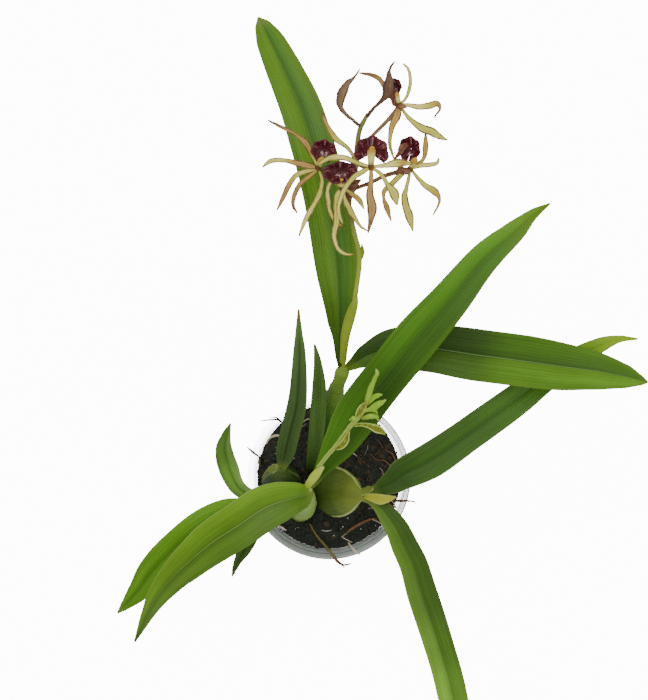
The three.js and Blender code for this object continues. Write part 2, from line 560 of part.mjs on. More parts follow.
// Young spike beside the centre bulb: sheath, stem, bracts and a cluster of small buds
const YOUNG_SHEATH = [[-15.5, -1.5, 164, 4], [-14, 2, 174, 5], [-10, 8, 182, 6.5], [-5, 15, 190, 5]];
const SHEATH_FORM = { sides: 8, steps: 6, flat: 0.7 };
const YOUNG_STEM = [[-7.6, 14.6, 189, 2.4], [-1.7, 22.9, 199, 2.8], [3, 28.6, 205, 2.8],
  [7.6, 35.3, 211, 2.6], [11.5, 40.9, 216, 2.8], [15.4, 46.1, 220, 3], [19.9, 50.9, 225, 2.8],
  [23.7, 55.7, 229, 2.4]];
const YOUNG_BUDS = [
  [[23.7, 57.5, 230, 3.2], [24.9, 63, 234, 4.6], [26.4, 69.5, 238, 3.8], [28.9, 75.5, 241.5, 2.8],
    [30.4, 79.4, 244, 2.8], [29.7, 82, 245, 0.9]],
  [[25, 59, 231, 2.2], [28.5, 63, 234, 3.2], [31.3, 65, 236, 3], [33.9, 65.4, 237, 0.9]],
  [[24.5, 54.4, 229.5, 2.2], [29.5, 57.4, 232, 4.6], [33.3, 60, 234, 3.6], [36.5, 61.8, 235, 0.9]],
  [[21.5, 49.5, 226.5, 2.2], [27, 51.2, 230, 3.8], [30.2, 50.8, 230, 3.4], [31.9, 48.1, 227.5, 0.9]],
  [[19, 48.8, 223, 2], [16, 49.3, 224, 3.2], [13.1, 48.2, 223, 0.9]],
];
const YOUNG_BRACTS = [
  [[4.3, 28.3, 206.5, 2], [7.9, 30.6, 210, 4.6], [10.6, 34.2, 213.5, 4.8], [11.9, 38, 216.5, 2.8],
    [13.1, 41.2, 218, 1]],
  [[17.6, 49, 223.5, 2], [19.5, 53.3, 227, 4.6], [21.7, 57, 230.5, 5], [23.6, 60.4, 233, 1]],
  [[16.1, 44.6, 219.5, 2], [21.3, 45.2, 222, 2.4], [26.5, 44.2, 222.5, 3.8], [30.5, 42.5, 221.5, 5.4],
    [34.2, 40.8, 219.5, 3.8], [36.9, 38.6, 217.5, 1]],
];

// Small yellow bract at the east bulb's apex
const YELLOW_BRACT = [[24.2, -8.2, 150.8, 3], [27.4, -8.6, 157.5, 4.5], [31.8, -9.2, 161, 6.2],
  [36, -9.7, 163.5, 7.4], [41, -9.1, 165, 5], [46.5, -7.9, 165.5, 1.2]];

// Roots on the bark, from root to tip
const ROOTS = {
  root_front: [[-13.4, -36, 94, 1.7], [-8.9, -43, 94.5, 2.2], [-3, -49.4, 101, 2.2],
    [0.5, -53.4, 106.8, 2.2], [3, -57.2, 107.5, 2.2], [6.6, -62.6, 103.4, 2.1],
    [11, -64.4, 101.6, 1.8], [16.2, -63.8, 101, 1]],
  root_fork: [[1.6, -55.6, 107.4, 1.3], [4.5, -58.7, 108.1, 1.5], [8.2, -62.3, 107.2, 1.4],
    [11.2, -66, 104.5, 0.8]],
  root_rusty: [[9.7, -44.6, 94, 1.2], [15.6, -39.6, 94.2, 2], [21.6, -35.9, 94.4, 2.2],
    [27.5, -32.9, 94.3, 2.2], [33.5, -31.4, 94.2, 1.8], [38.4, -34.8, 94, 1]],
  root_arc: [[-46.5, 25, 94, 1.2], [-44, 28.5, 94.3, 1.8], [-39.5, 30.6, 94.5, 2], [-33.5, 29.6, 94.2, 1.4]],
  root_east: [[41, -20, 94, 1.2], [46, -18.4, 94.4, 1.8], [50.2, -17.3, 99.5, 1.8],
    [53.8, -16.7, 105.6, 1.7], [57.8, -16.6, 106.8, 1.6], [61.2, -17.1, 105.8, 1.3], [64, -18, 104.5, 0.8]],
};

// What a leaf base has to leave room for: its bulb's apex, and the neighbours that grow from it.
function leafRooms({ seat, beside = [] }) {
  return [makeBulb(BULBS[seat], APEX_CLEARANCE), ...beside.map((name) => NEIGHBOUR_ROOMS[name]())];
}

const leafRoom = (name) => blade(LEAVES[name].stations, { ...LEAVES[name], grow: CLEARANCE });
const NEIGHBOUR_ROOMS = {
  stem: () => limb(STEM, { ...STEM_FORM, grow: CLEARANCE }),
  sheath: () => limb(YOUNG_SHEATH, { ...SHEATH_FORM, grow: CLEARANCE }),
  northeast: () => leafRoom('leaf_northeast'),
  low_east: () => leafRoom('leaf_low_east'),
  southeast: () => leafRoom('leaf_southeast'),
  low_southwest: () => leafRoom('leaf_low_southwest'),
};

addPiece('pot', makePot(), 'pot');

const bulbHoles = Object.values(BULBS).map((bulb) => makeBulb(bulb, CLEARANCE));
const spearHole = limb(SPEAR_HOLE, { sides: 8, steps: 4, face: [0, 1, 0] });
const soil = carve(makeSoil(), [...bulbHoles, spearHole]);
addPiece('soil', soil, 'soil');

for (const [name, bulb] of Object.entries(BULBS)) addPiece(name, makeBulb(bulb), 'bulb');
for (const [name, leaf] of Object.entries(LEAVES)) {
  const whole = blade(leaf.stations, leaf);
  const cut = leaf.seat ? carve(whole, leafRooms(leaf)) : whole;
  addPiece(name, cut, name.includes('spear') ? 'leafDark' : 'leaf');
}

const STALK_FORM = { sides: 6, steps: 5, face: [0, 1, 0] };
const stalkBodies = Object.values(STALKS).map((stations) => limb(stations, STALK_FORM));
const stemBodies = [limb(STEM, STEM_FORM), blade(STEM_BRACT, { steps: 3, across: 2 })];
const hearts = Object.values(BLOOMS).map((bloom) => makeHeart(bloom, CLEARANCE));
const northApex = makeBulb(BULBS.bulb_north, APEX_CLEARANCE);
addPiece('flower_stem', carve(fuse([...stemBodies, ...stalkBodies]), [northApex, ...hearts]), 'stem');
const stemRoom = NEIGHBOUR_ROOMS.stem();
const spathe = limb(SPATHE, { sides: 8, steps: 8, flat: 0.8 });
addPiece('spathe', carve(spathe, [stemRoom]), 'sheath');

for (const [name, bloom] of Object.entries(BLOOMS)) {
  addPiece(`bloom_${name}`, makeBloom(bloom), 'petal');
  addPiece(`lip_${name}`, carve(makeLip(bloom.lip), [makeColumn(bloom, CLEARANCE)]), 'lip');
}
for (const [name, stations] of Object.entries(BUDS)) {
  addPiece(name, carve(limb(stations, { sides: 8, steps: 12 }), [stemRoom]), 'bud');
}

const yellowBract = blade(YELLOW_BRACT, { steps: 8, fold: 0.4 });
const bractRooms = leafRooms({ seat: 'bulb_east', beside: ['low_east', 'southeast'] });
addPiece('yellow_bract', carve(yellowBract, bractRooms), 'sheath');
const youngSheath = limb(YOUNG_SHEATH, SHEATH_FORM);
addPiece('young_sheath', carve(youngSheath, [makeBulb(BULBS.bulb_centre, APEX_CLEARANCE)]), 'sheath');
const youngBodies = [limb(YOUNG_STEM, { sides: 7, steps: 8 })];
for (const stations of YOUNG_BUDS) youngBodies.push(limb(stations, { sides: 6, steps: 5, face: [1, 1, 0] }));
for (const stations of YOUNG_BRACTS) youngBodies.push(blade(stations, { steps: 5, across: 2, fold: 0.3 }));
addPiece('young_spike', carve(fuse(youngBodies), [NEIGHBOUR_ROOMS.sheath()]), 'spike');

const soilRoom = soil.clone().translate(0, 0, CLEARANCE);
const ROOT_FORM = { sides: 6, steps: 8 };
const frontRoom = limb(ROOTS.root_front, { ...ROOT_FORM, grow: CLEARANCE });
for (const [name, stations] of Object.entries(ROOTS)) {
  const rooms = name === 'root_fork' ? [soilRoom, frontRoom] : [soilRoom];
  addPiece(name, carve(limb(stations, ROOT_FORM), rooms), 'root');
}

export default group;
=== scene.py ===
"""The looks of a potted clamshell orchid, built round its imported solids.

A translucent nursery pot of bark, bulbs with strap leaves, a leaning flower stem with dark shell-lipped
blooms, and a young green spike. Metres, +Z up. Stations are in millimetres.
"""
import logging
import math
import random
from dataclasses import dataclass
from enum import Enum
from typing import Any, Sequence, Union

import bmesh
import bpy
import numpy as np
from mathutils import Euler, Matrix, Vector, noise


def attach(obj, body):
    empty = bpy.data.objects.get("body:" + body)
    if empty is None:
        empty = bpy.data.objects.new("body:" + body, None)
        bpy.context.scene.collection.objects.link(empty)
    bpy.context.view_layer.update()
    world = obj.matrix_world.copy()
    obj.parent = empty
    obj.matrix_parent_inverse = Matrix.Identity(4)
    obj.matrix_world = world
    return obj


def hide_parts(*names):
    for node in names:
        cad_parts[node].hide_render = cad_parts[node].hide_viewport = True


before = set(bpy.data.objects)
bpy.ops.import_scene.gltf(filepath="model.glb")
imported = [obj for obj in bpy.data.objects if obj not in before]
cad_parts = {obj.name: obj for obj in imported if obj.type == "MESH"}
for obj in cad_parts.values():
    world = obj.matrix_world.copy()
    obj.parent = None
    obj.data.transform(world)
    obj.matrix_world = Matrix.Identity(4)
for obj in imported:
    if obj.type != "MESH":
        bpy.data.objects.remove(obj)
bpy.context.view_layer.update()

LOG = logging.getLogger("orchid")
MM = 0.001
TURN = 2 * math.pi
MERGE = 1e-7
Station = tuple[float, ...]
Line = Sequence[Station]
Point = tuple[float, float, float]
Colour = tuple[float, float, float, float]
Stops = tuple[tuple[float, Colour], ...]
Material = bpy.types.Material
Value = Union["Wire", float]


def srgb(red: int, green: int, blue: int) -> Colour:
    """Turn a colour as seen on a screen into the linear one that shaders take.

    Args:
        red: Red from 0 to 255.
        green: Green from 0 to 255.
        blue: Blue from 0 to 255.

    Returns:
        The linear colour with full alpha.
    """
    linear = [((c / 255 + 0.055) / 1.055) ** 2.4 if c > 10 else c / 3294.6 for c in (red, green, blue)]
    return (linear[0], linear[1], linear[2], 1.0)


def colours(*rows: Station) -> Stops:
    """Stops of a colour ramp from rows of a place and its red, green and blue."""
    return tuple((place, srgb(red, green, blue)) for place, red, green, blue in rows)


class Wire:
    """A shader socket that takes arithmetic, adding one Math node for each operation."""

    def __init__(self, graph: "Graph", socket: bpy.types.NodeSocket) -> None:
        """Keep the graph and the output socket."""
        self.graph = graph
        self.socket = socket

    def math(self, operation: str, *values: Value) -> "Wire":
        """Add a Math node.

        Args:
            operation: The Math node's operation.
            values: Its inputs, wires or plain numbers.

        Returns:
            The node's result.
        """
        return self.graph.node("ShaderNodeMath", {"operation": operation}, dict(enumerate(values)))

    def __add__(self, other: Value) -> "Wire":
        """Sum."""
        return self.math("ADD", self, other)

    def __sub__(self, other: Value) -> "Wire":
        """Difference."""
        return self.math("SUBTRACT", self, other)

    def __rsub__(self, other: float) -> "Wire":
        """Difference with a number on the left."""
        return self.math("SUBTRACT", other, self)

    def __mul__(self, other: Value) -> "Wire":
        """Product."""
        return self.math("MULTIPLY", self, other)

    __radd__ = __add__
    __rmul__ = __mul__

    def waves(self, count: float) -> "Wire":
        """A number of waves from 0 to 1 while the value runs from 0 to 1."""
        return self.math("SINE", self * (TURN * count)) * 0.5 + 0.5

    def from_middle(self) -> "Wire":
        """Distance from a half."""
        return (self - 0.5).size()

    def size(self) -> "Wire":
        """Absolute value."""
        return self.math("ABSOLUTE", self)

    def root(self) -> "Wire":
        """Square root."""
        return self.math("SQRT", self)

    def highest(self, other: Value) -> "Wire":
        """The higher of two values."""
        return self.math("MAXIMUM", self, other)

    def step(self, low: float, high: float) -> "Wire":
        """Rise smoothly from 0 at low to 1 at high.

        Args:
            low: Value where the result is 0.
            high: Value where the result is 1. It may be below low, and the result then falls.

        Returns:
            The smooth step.
        """
        turned = low > high
        ends = {"From Min": min(low, high), "From Max": max(low, high)}
        span = {"To Min": float(turned), "To Max": float(not turned)}
        smooth = {"interpolation_type": "SMOOTHSTEP"}
        return self.graph.node("ShaderNodeMapRange", smooth, {"Value": self, **ends, **span})


class Graph:
    """The node tree of one material."""

    def __init__(self, name: str) -> None:
        """Start an empty material of that name."""
        self.material = bpy.data.materials.new(name)
        self.material.use_nodes = True
        self.tree = self.material.node_tree
        self.tree.nodes.clear()

    def node(self, kind: str, settings: dict[str, Any] | None = None,
             sockets: dict[Any, Any] | None = None, out: Any = 0) -> Wire:
        """Add a node.

        Args:
            kind: The node's type.
            settings: Its own settings, set first. "stops" are a colour ramp's places and colours.
            sockets: Values or wires for its inputs, by name or number.
            out: Name or number of the output to return.

        Returns:
            The chosen output.
        """
        made = self.tree.nodes.new(kind)
        for key, value in (settings or {}).items():
            if key == "stops":
                self._set_stops(made.color_ramp, value)
            else:
                setattr(made, key, value)
        for key, value in (sockets or {}).items():
            if isinstance(value, Wire):
                self.tree.links.new(value.socket, made.inputs[key])
            else:
                made.inputs[key].default_value = value
        return Wire(self, made.outputs[out])

    @staticmethod
    def _set_stops(ramp: bpy.types.ColorRamp, stops: Sequence[tuple[float, Colour]]) -> None:
        """Give a colour ramp its stops."""
        while len(ramp.elements) < len(stops):
            ramp.elements.new(0.5)
        for element, (place, colour) in zip(ramp.elements, stops):
            element.position = place
            element.color = colour

    def level(self, value: Wire, stops: Sequence[tuple[float, float]]) -> Wire:
        """A number that runs smoothly from stop to stop, each a place and the number there."""
        total: Value = stops[0][1]
        for (low, before), (high, after) in zip(stops, stops[1:]):
            total = value.step(low, high) * (after - before) + total
        return total

    def ramp(self, value: Wire, stops: Sequence[tuple[float, Colour]]) -> Wire:
        """Turn a value into a colour by a ramp."""
        return self.node("ShaderNodeValToRGB", {"stops": stops}, {"Fac": value})

    def uv(self) -> tuple[Wire, Wire]:
        """The piece's own map: along it, and across or round it."""
        place = self.node("ShaderNodeUVMap", {"uv_map": "UVMap"})
        return self.part(place, "X"), self.part(place, "Y")

    def part(self, vector: Wire, axis: str) -> Wire:
        """One number of a vector."""
        return self.node("ShaderNodeSeparateXYZ", None, {0: vector}, axis)

    def place(self) -> Wire:
        """Object coordinates, in metres."""
        return self.node("ShaderNodeTexCoord", None, None, "Object")

    def tint(self) -> Wire:
        """The tint that the mesh holds for each of its forms."""
        return self.node("ShaderNodeAttribute", {"attribute_name": "tint"}, None, "Fac")

    def streaks(self, place: Sequence[Value], detail: float = 3.0, rough: float = 0.55) -> Wire:
        """Soft noise from 0 to 1 at two or three numbers, each already times its own scale."""
        vector = self.node("ShaderNodeCombineXYZ", None, dict(enumerate(place)))
        return self.noise(vector, 1.0, detail, rough)

    def noise(self, vector: Wire, scale: float, detail: float = 3.0, rough: float = 0.55) -> Wire:
        """Soft noise from 0 to 1."""
        sockets = {"Vector": vector, "Scale": scale, "Detail": detail, "Roughness": rough}
        return self.node("ShaderNodeTexNoise", None, sockets)

    def mix(self, factor: Value, first: "Wire | Colour", second: "Wire | Colour") -> Wire:
        """Blend two colours, 0 for the first and 1 for the second."""
        return self.node("ShaderNodeMix", {"data_type": "RGBA"}, {0: factor, 6: first, 7: second}, 2)

    def shade(self, colour: Wire, amount: Wire) -> Wire:
        """Brighten or darken a colour by a factor."""
        return self.node("ShaderNodeVectorMath", {"operation": "SCALE"}, {0: colour, "Scale": amount})

    def surface(self, colour: "Wire | Colour", rough: Value,
                bump: tuple[Wire, float, float] | None = None, **more: Any) -> Material:
        """Finish the material with the main shader.

        Args:
            colour: Its base colour.
            rough: Its roughness.
            bump: A height from 0 to 1, the depth in millimetres that it runs over, and the bump's strength.
            more: Further inputs, with underscores for spaces.

        Returns:
            The material.
        """
        sockets = {"Base Color": colour, "Roughness": rough}
        if bump:
            height, depth, strength = bump
            relief = {"Height": height, "Distance": depth * MM, "Strength": strength}
            sockets["Normal"] = self.node("ShaderNodeBump", None, relief)
        sockets.update({key.replace("_", " "): value for key, value in more.items()})
        shader = self.node("ShaderNodeBsdfPrincipled", None, sockets)
        output = self.tree.nodes.new("ShaderNodeOutputMaterial")
        self.tree.links.new(shader.socket, output.inputs["Surface"])
        return self.material


@dataclass(frozen=True)
class LeafFinish:
    """A strap leaf's upper side: bands of green across it that paint the lit and shaded halves of its fold
    and its sheen over its own greens, and painted light and shade along its length.
    """

    name: str
    lit_and_shaded_bands: Stops
    # Painted light and shade along the length, as a factor at places from base to tip.
    light: tuple[tuple[float, float], ...] = ((0.0, 1.0), (1.0, 1.0))
    base: Colour = srgb(150, 165, 70)
    base_to: float = 0.1
    tip: Colour = srgb(120, 150, 60)
    tip_from: float = 0.93
    tip_share: float = 0.8
    rib: Colour = srgb(120, 160, 70)
    rib_share: float = 0.35
    margin: Colour = srgb(150, 175, 90)
    margin_shares: tuple[float, float] = (0.4, 0.4)
    margin_to: float = 1.0
    gloss: float = 0.4

    def material(self) -> Material:
        """Make the finish."""
        graph = Graph(self.name)
        along, across = graph.uv()
        sway = graph.streaks((along * 3.0, across * 2.0), 2.0)
        pleats = graph.streaks((along * 2.2, across * 17.0), 3.0, 0.6)
        streaks = graph.streaks((along * 7.0, across * 75.0), 4.0, 0.6)
        blotches = graph.noise(graph.place(), 60.0, 4.0)
        # Bands across the leaf: its own greens, with the lit and shaded halves of the fold and its sheen
        # painted in.
        colour = graph.ramp(across + (sway - 0.5) * 0.1 + (pleats - 0.5) * 0.12, self.lit_and_shaded_bands)
        veins = across.waves(17)
        drift = graph.streaks((along * 1.6, across * 5.0, 4.0), 2.0)
        mottle = pleats * 0.86 + streaks * 0.44 + blotches * 0.24 + veins * 0.12 + drift * 0.5 - 0.08
        # Painted light and shade along the leaf, times the random mottle.
        colour = graph.shade(colour, graph.level(along, self.light) * mottle)
        middle = across.from_middle()
        # Painted shade in the midrib's crease.
        crease_shade = middle.step(0.05, 0.014) * 0.22
        colour = graph.shade(colour, 1.0 - crease_shade)
        wander = (pleats - 0.5) * 0.006
        colour = graph.mix((middle + wander).step(0.013, 0.005) * self.rib_share, colour, self.rib)
        rim = middle.step(0.474, 0.488) * along.step(self.margin_to + 0.15, self.margin_to)
        low, high = self.margin_shares
        colour = graph.mix(rim * (across.step(0.4, 0.6) * (high - low) + low), colour, self.margin)
        # Painted shade: a thin dark outline along both margins.
        colour = graph.shade(colour, 1.0 - middle.step(0.486, 0.497) * 0.4)
        colour = graph.mix(along.step(self.base_to, 0.0) * 0.8, colour, self.base)
        tipped = (along + (pleats - 0.5) * 0.1).step(self.tip_from, 1.0) * self.tip_share
        colour = graph.mix(tipped, colour, self.tip)
        height = veins * 0.4 + streaks * 0.3 + pleats * 0.5
        rough = self.gloss + blotches * 0.12
        return graph.surface(colour, rough, (height, 0.25, 0.7), Specular_IOR_Level=0.2)


@dataclass(frozen=True)
class LeafUnderFinish:
    """The paler, duller underside that all the leaves share."""

    colour: Colour = srgb(118, 146, 82)

    def material(self) -> Material:
        """Make the finish."""
        graph = Graph("leaf_under")
        along, across = graph.uv()
        streaks = graph.streaks((along * 6.0, across * 60.0), 4.0, 0.6)
        keel = across.from_middle().step(0.03, 0.008)
        colour = graph.mix(keel * 0.5, self.colour, srgb(165, 182, 120))
        colour = graph.shade(colour, 0.8 + streaks * 0.4)
        height = keel + across.waves(15) * 0.35
        return graph.surface(colour, 0.55 + streaks * 0.1, (height, 0.25, 0.7), Subsurface_Weight=0.06,
                             Subsurface_Scale=0.0015)


@dataclass(frozen=True)
class BulbFinish:
    """A fleshy bulb with fine ribs from foot to neck and a pale line along both its edges, and for some
    bulbs painted light towards its sides over a darker middle of each face.
    """

    name: str
    foot: Colour
    body: Colour
    neck: Colour
    edge: Colour = srgb(150, 170, 96)
    edge_share: float = 0.5
    neck_from: float = 0.8
    # Strength of the painted light towards the sides and of the painted shade in the middle of each face.
    painted_rim_light: float = 0.0

    def material(self) -> Material:
        """Make the finish."""
        graph = Graph(self.name)
        along, around = graph.uv()
        mottle = graph.noise(graph.place(), 130.0, 5.0, 0.6)
        patches = graph.noise(graph.place(), 45.0, 3.0)
        streaks = graph.streaks((along * 3.0, around * 46.0), 4.0, 0.6)
        wander = along + (mottle - 0.5) * 0.14
        stops = ((0.08, self.foot), (0.38, self.body), (self.neck_from, self.body), (1.0, self.neck))
        colour = graph.ramp(wander, stops)
        colour = graph.shade(colour, 0.44 + streaks * 0.5 + mottle * 0.34 + patches * 0.28)
        turn = around.from_middle()
        # Painted light and shade: darker in the middle of each face, brighter towards both sides.
        colour = graph.shade(colour, (turn - 0.25).size() * (4 * self.painted_rim_light) + (1.0 - self.painted_rim_light))
        keel = turn.step(0.03, 0.016).highest(turn.step(0.47, 0.484))
        colour = graph.mix(keel * self.edge_share, colour, self.edge)
        ribs = around.waves(22)
        height = ribs * 0.5 + streaks * 0.5
        return graph.surface(colour, 0.42 + mottle * 0.16, (height, 0.35, 0.7), Specular_IOR_Level=0.25)


@dataclass(frozen=True)
class SheathFinish:
    """Thin papery or leafy sheath with lengthwise lines."""

    name: str
    colour: Colour
    edge: Colour
    lines: int = 16

    def material(self) -> Material:
        """Make the finish."""
        graph = Graph(self.name)
        along, across = graph.uv()
        fibres = graph.streaks((along * 4.0, across * 40.0), 4.0, 0.65)
        mottle = graph.noise(graph.place(), 220.0, 3.0)
        rim = across.from_middle().step(0.36, 0.49).highest(along.step(0.86, 1.0))
        colour = graph.mix(rim * 0.8, self.colour, self.edge)
        colour = graph.shade(colour, 0.55 + fibres * 0.7 + mottle * 0.2)
        height = fibres * 0.6 + across.waves(self.lines) * 0.4
        return graph.surface(colour, 0.6, (height, 0.3, 0.8), Specular_IOR_Level=0.2)


@dataclass(frozen=True)
class StemFinish:
    """The flower stem: green below, maroon-speckled where the stalks leave, olive above."""

    low: Colour = srgb(158, 174, 56)
    high: Colour = srgb(122, 128, 58)
    ripe: Colour = srgb(170, 122, 90)
    flush: Colour = srgb(104, 44, 42)

    def material(self) -> Material:
        """Make the finish."""
        graph = Graph("stem_green")
        place = graph.place()
        height = graph.part(place, "Z")
        along, around = graph.uv()
        mottle = graph.noise(place, 420.0, 4.0, 0.65)
        streaks = graph.streaks((along * 10.0, around * 14.0), 3.0)
        colour = graph.mix(height.step(0.24, 0.285), self.low, self.high)
        node_height = (height - 0.2775).size().step(0.013, 0.002)
        speckle = mottle.step(0.46, 0.56)
        blush = (node_height * 0.9).highest(graph.tint() * 0.85)
        colour = graph.mix(graph.tint() * 0.8, colour, self.ripe)
        colour = graph.mix(blush * (0.35 + speckle * 0.65), colour, self.flush)
        colour = graph.shade(colour, 0.72 + streaks * 0.3 + mottle * 0.26)
        return graph.surface(colour, 0.45 + mottle * 0.12, (streaks, 0.2, 0.5), Specular_IOR_Level=0.3)


class Tone(Enum):
    """How a stretch of a segment is coloured, as the tint that its material reads."""

    CREAM = 0.0
    LIME = 0.25
    OCHRE = 0.5
    TAN = 0.75
    BROWN = 1.0


@dataclass(frozen=True)
class TepalFinish:
    """A bloom's narrow segments: cream, yellow-green, ochre or tan by the tint, with thin brown edges that
    paint the shade of their rolled margins.
    """

    name: str
    tones: Stops = colours((0.0, 255, 240, 140), (0.25, 222, 218, 100), (0.5, 210, 168, 88),
                           (0.75, 192, 158, 94), (1.0, 116, 78, 48))
    # Colour of the painted shade along the rolled margins.
    edge: Colour = srgb(96, 66, 30)
    tip: Colour = srgb(96, 62, 38)

    def material(self) -> Material:
        """Make the finish."""
        graph = Graph(self.name)
        along, across = graph.uv()
        tint = graph.tint()
        cloud = graph.noise(graph.place(), 190.0, 4.0)
        veins = graph.streaks((along * 5.0, across * 20.0, tint * 9.0), 3.0, 0.6)
        middle = across.from_middle()
        colour = graph.ramp(tint + (cloud - 0.5) * 0.34 + (veins - 0.5) * 0.12, self.tones)
        colour = graph.mix(middle.step(0.12, 0.0) * 0.35, colour, srgb(160, 160, 76))
        # Painted shade along both rolled margins, broken up by the cloud noise.
        rolled_edge_shade = middle.step(0.24, 0.37) * (0.6 + cloud.step(0.35, 0.65) * 0.35)
        colour = graph.mix(rolled_edge_shade, colour, self.edge)
        colour = graph.mix((along + (veins - 0.5) * 0.06).step(0.93, 1.0) * 0.85, colour, self.tip)
        colour = graph.shade(colour, 0.48 + veins * 0.84 + cloud * 0.24)
        return graph.surface(colour, 0.48, (veins, 0.2, 0.7), Specular_IOR_Level=0.2)


@dataclass(frozen=True)
class LipFinish:
    """A glossy maroon shell with pale rays and a painted pink highlight of flecks on each side near its
    mouth. A tint of 1 is the reddish brown spout.
    """

    dark: Colour = srgb(64, 12, 22)
    glow: Colour = srgb(112, 32, 42)
    pale: Colour = srgb(214, 168, 172)
    spout: Colour = srgb(96, 44, 34)
    spout_glow: Colour = srgb(146, 88, 64)

    def material(self) -> Material:
        """Make the finish."""
        graph = Graph("lip_maroon")
        round_, outward = graph.uv()
        rays = graph.streaks((round_ * 34.0, outward * 2.0), 3.0, 0.6)
        spots = graph.noise(graph.place(), 700.0, 2.0)
        colour = graph.mix(rays.step(0.42, 0.68), self.dark, self.glow)
        turn = round_.from_middle()
        # Painted highlight: pale pink flecks on each side near the mouth.
        highlight_flecks = turn.step(0.34, 0.42) * outward.step(0.2, 0.3) * outward.step(0.62, 0.42)
        colour = graph.mix(highlight_flecks * spots.step(0.48, 0.58) * 0.8, colour, self.pale)
        lines = rays.step(0.6, 0.66) * outward.step(0.3, 0.42) * outward.step(0.9, 0.74)
        middle = turn.step(0.02, 0.008) * outward.step(0.3, 0.5) * outward.step(0.95, 0.8)
        colour = graph.mix((lines * 0.5).highest(middle * 0.4), colour, self.pale)
        colour = graph.mix(outward.step(0.92, 1.0) * 0.3, colour, srgb(150, 76, 80))
        spout = graph.mix(rays.step(0.4, 0.6), self.spout, self.spout_glow)
        colour = graph.mix(graph.tint(), colour, spout)
        return graph.surface(colour, 0.26 + spots * 0.16, (rays, 0.3, 0.6), Specular_IOR_Level=0.3,
                             Coat_Weight=0.14, Coat_Roughness=0.12)


@dataclass(frozen=True)
class ColumnFinish:
    """The column: pale yellow-green with an ochre cap and purple marks at its foot."""

    foot: Colour = srgb(228, 220, 116)
    cap: Colour = srgb(200, 156, 62)
    mark: Colour = srgb(70, 34, 44)

    def material(self) -> Material:
        """Make the finish."""
        graph = Graph("column_yellow")
        along, around = graph.uv()
        spots = graph.noise(graph.place(), 700.0, 3.0)
        colour = graph.mix(along.step(0.6, 0.86), self.foot, self.cap)
        marked = (along.step(0.44, 0.14) * spots.step(0.5, 0.58)).highest(along.step(0.26, 0.12) * 0.85)
        colour = graph.mix(marked * 0.85, colour, self.mark)
        colour = graph.shade(colour, 0.8 + spots * 0.4)
        lines = around.waves(5)
        return graph.surface(colour, 0.4 + spots * 0.1, (lines * 0.5 + spots * 0.5, 0.2, 0.5),
                             Specular_IOR_Level=0.25)


@dataclass(frozen=True)
class BudFinish:
    """A withering bud: brown and pinkish stripes with an olive or pale side, and dark edges that paint the
    shade along both its sides.
    """

    name: str
    sides: Stops
    dark: Colour = srgb(60, 38, 32)
    light: Colour = srgb(154, 128, 96)

    def material(self) -> Material:
        """Make the finish."""
        graph = Graph(self.name)
        along, around = graph.uv()
        streaks = graph.streaks((along * 5.0, around * 24.0), 4.0, 0.65)
        colour = graph.ramp(around + (streaks - 0.5) * 0.12, self.sides)
        colour = graph.mix(streaks.step(0.54, 0.66) * 0.5, colour, self.light)
        turn = around.from_middle()
        # Painted shade: dark along both sides, where the bud turns away.
        edges = turn.step(0.06, 0.01).highest(turn.step(0.43, 0.49))
        colour = graph.mix(edges * 0.75, colour, self.dark)
        colour = graph.mix(along.step(0.3, 0.0) * 0.6, colour, srgb(92, 66, 50))
        colour = graph.mix(along.step(0.84, 1.0) * 0.8, colour, self.dark)
        colour = graph.shade(colour, 0.3 + streaks * 1.3)
        ridges = around.waves(6)
        return graph.surface(colour, 0.5 + streaks * 0.1, (ridges * 0.5 + streaks * 0.5, 0.35, 0.7),
                             Specular_IOR_Level=0.3)


@dataclass(frozen=True)
class SpikeFinish:
    """The young spike: pale rims and a tan line on the stem, bright buds, olive bracts with bright rims."""

    stem: Colour = srgb(168, 196, 82)
    bud: Colour = srgb(146, 190, 46)
    bract: Colour = srgb(124, 130, 34)
    rim: Colour = srgb(192, 214, 104)
    line: Colour = srgb(128, 98, 58)
    point: Colour = srgb(186, 202, 116)

    def material(self) -> Material:
        """Make the finish."""
        graph = Graph("spike_green")
        along, across = graph.uv()
        tint = graph.tint()
        mottle = graph.noise(graph.place(), 480.0, 4.0, 0.6)
        lines = graph.streaks((along * 4.0, across * 22.0, tint * 5.0), 3.0)
        is_stem = tint.step(0.2, 0.15)
        is_bract = tint.step(0.8, 0.85)
        is_bud = 1.0 - is_stem - is_bract
        colour = graph.ramp(tint, ((0.1, self.stem), (0.5, self.bud), (0.85, self.bract)))
        top_line = (across - 0.25 + (mottle - 0.5) * 0.05).size().step(0.07, 0.03)
        colour = graph.mix(top_line * is_stem * 0.4, colour, self.line)
        sheet_rim = across.from_middle().step(0.3, 0.38)
        colour = graph.mix(sheet_rim * is_bract, colour, self.rim)
        colour = graph.mix(mottle.step(0.5, 0.66) * 0.4, colour, self.rim)
        colour = graph.mix(along.step(0.86, 1.0) * is_bud * 0.6, colour, self.point)
        colour = graph.mix(along.step(0.3, 0.0) * is_bud * 0.7, colour, self.line)
        colour = graph.shade(colour, 0.5 + lines * 0.86 + mottle * 0.14)
        return graph.surface(colour, 0.46, (lines, 0.3, 0.8), Specular_IOR_Level=0.2)


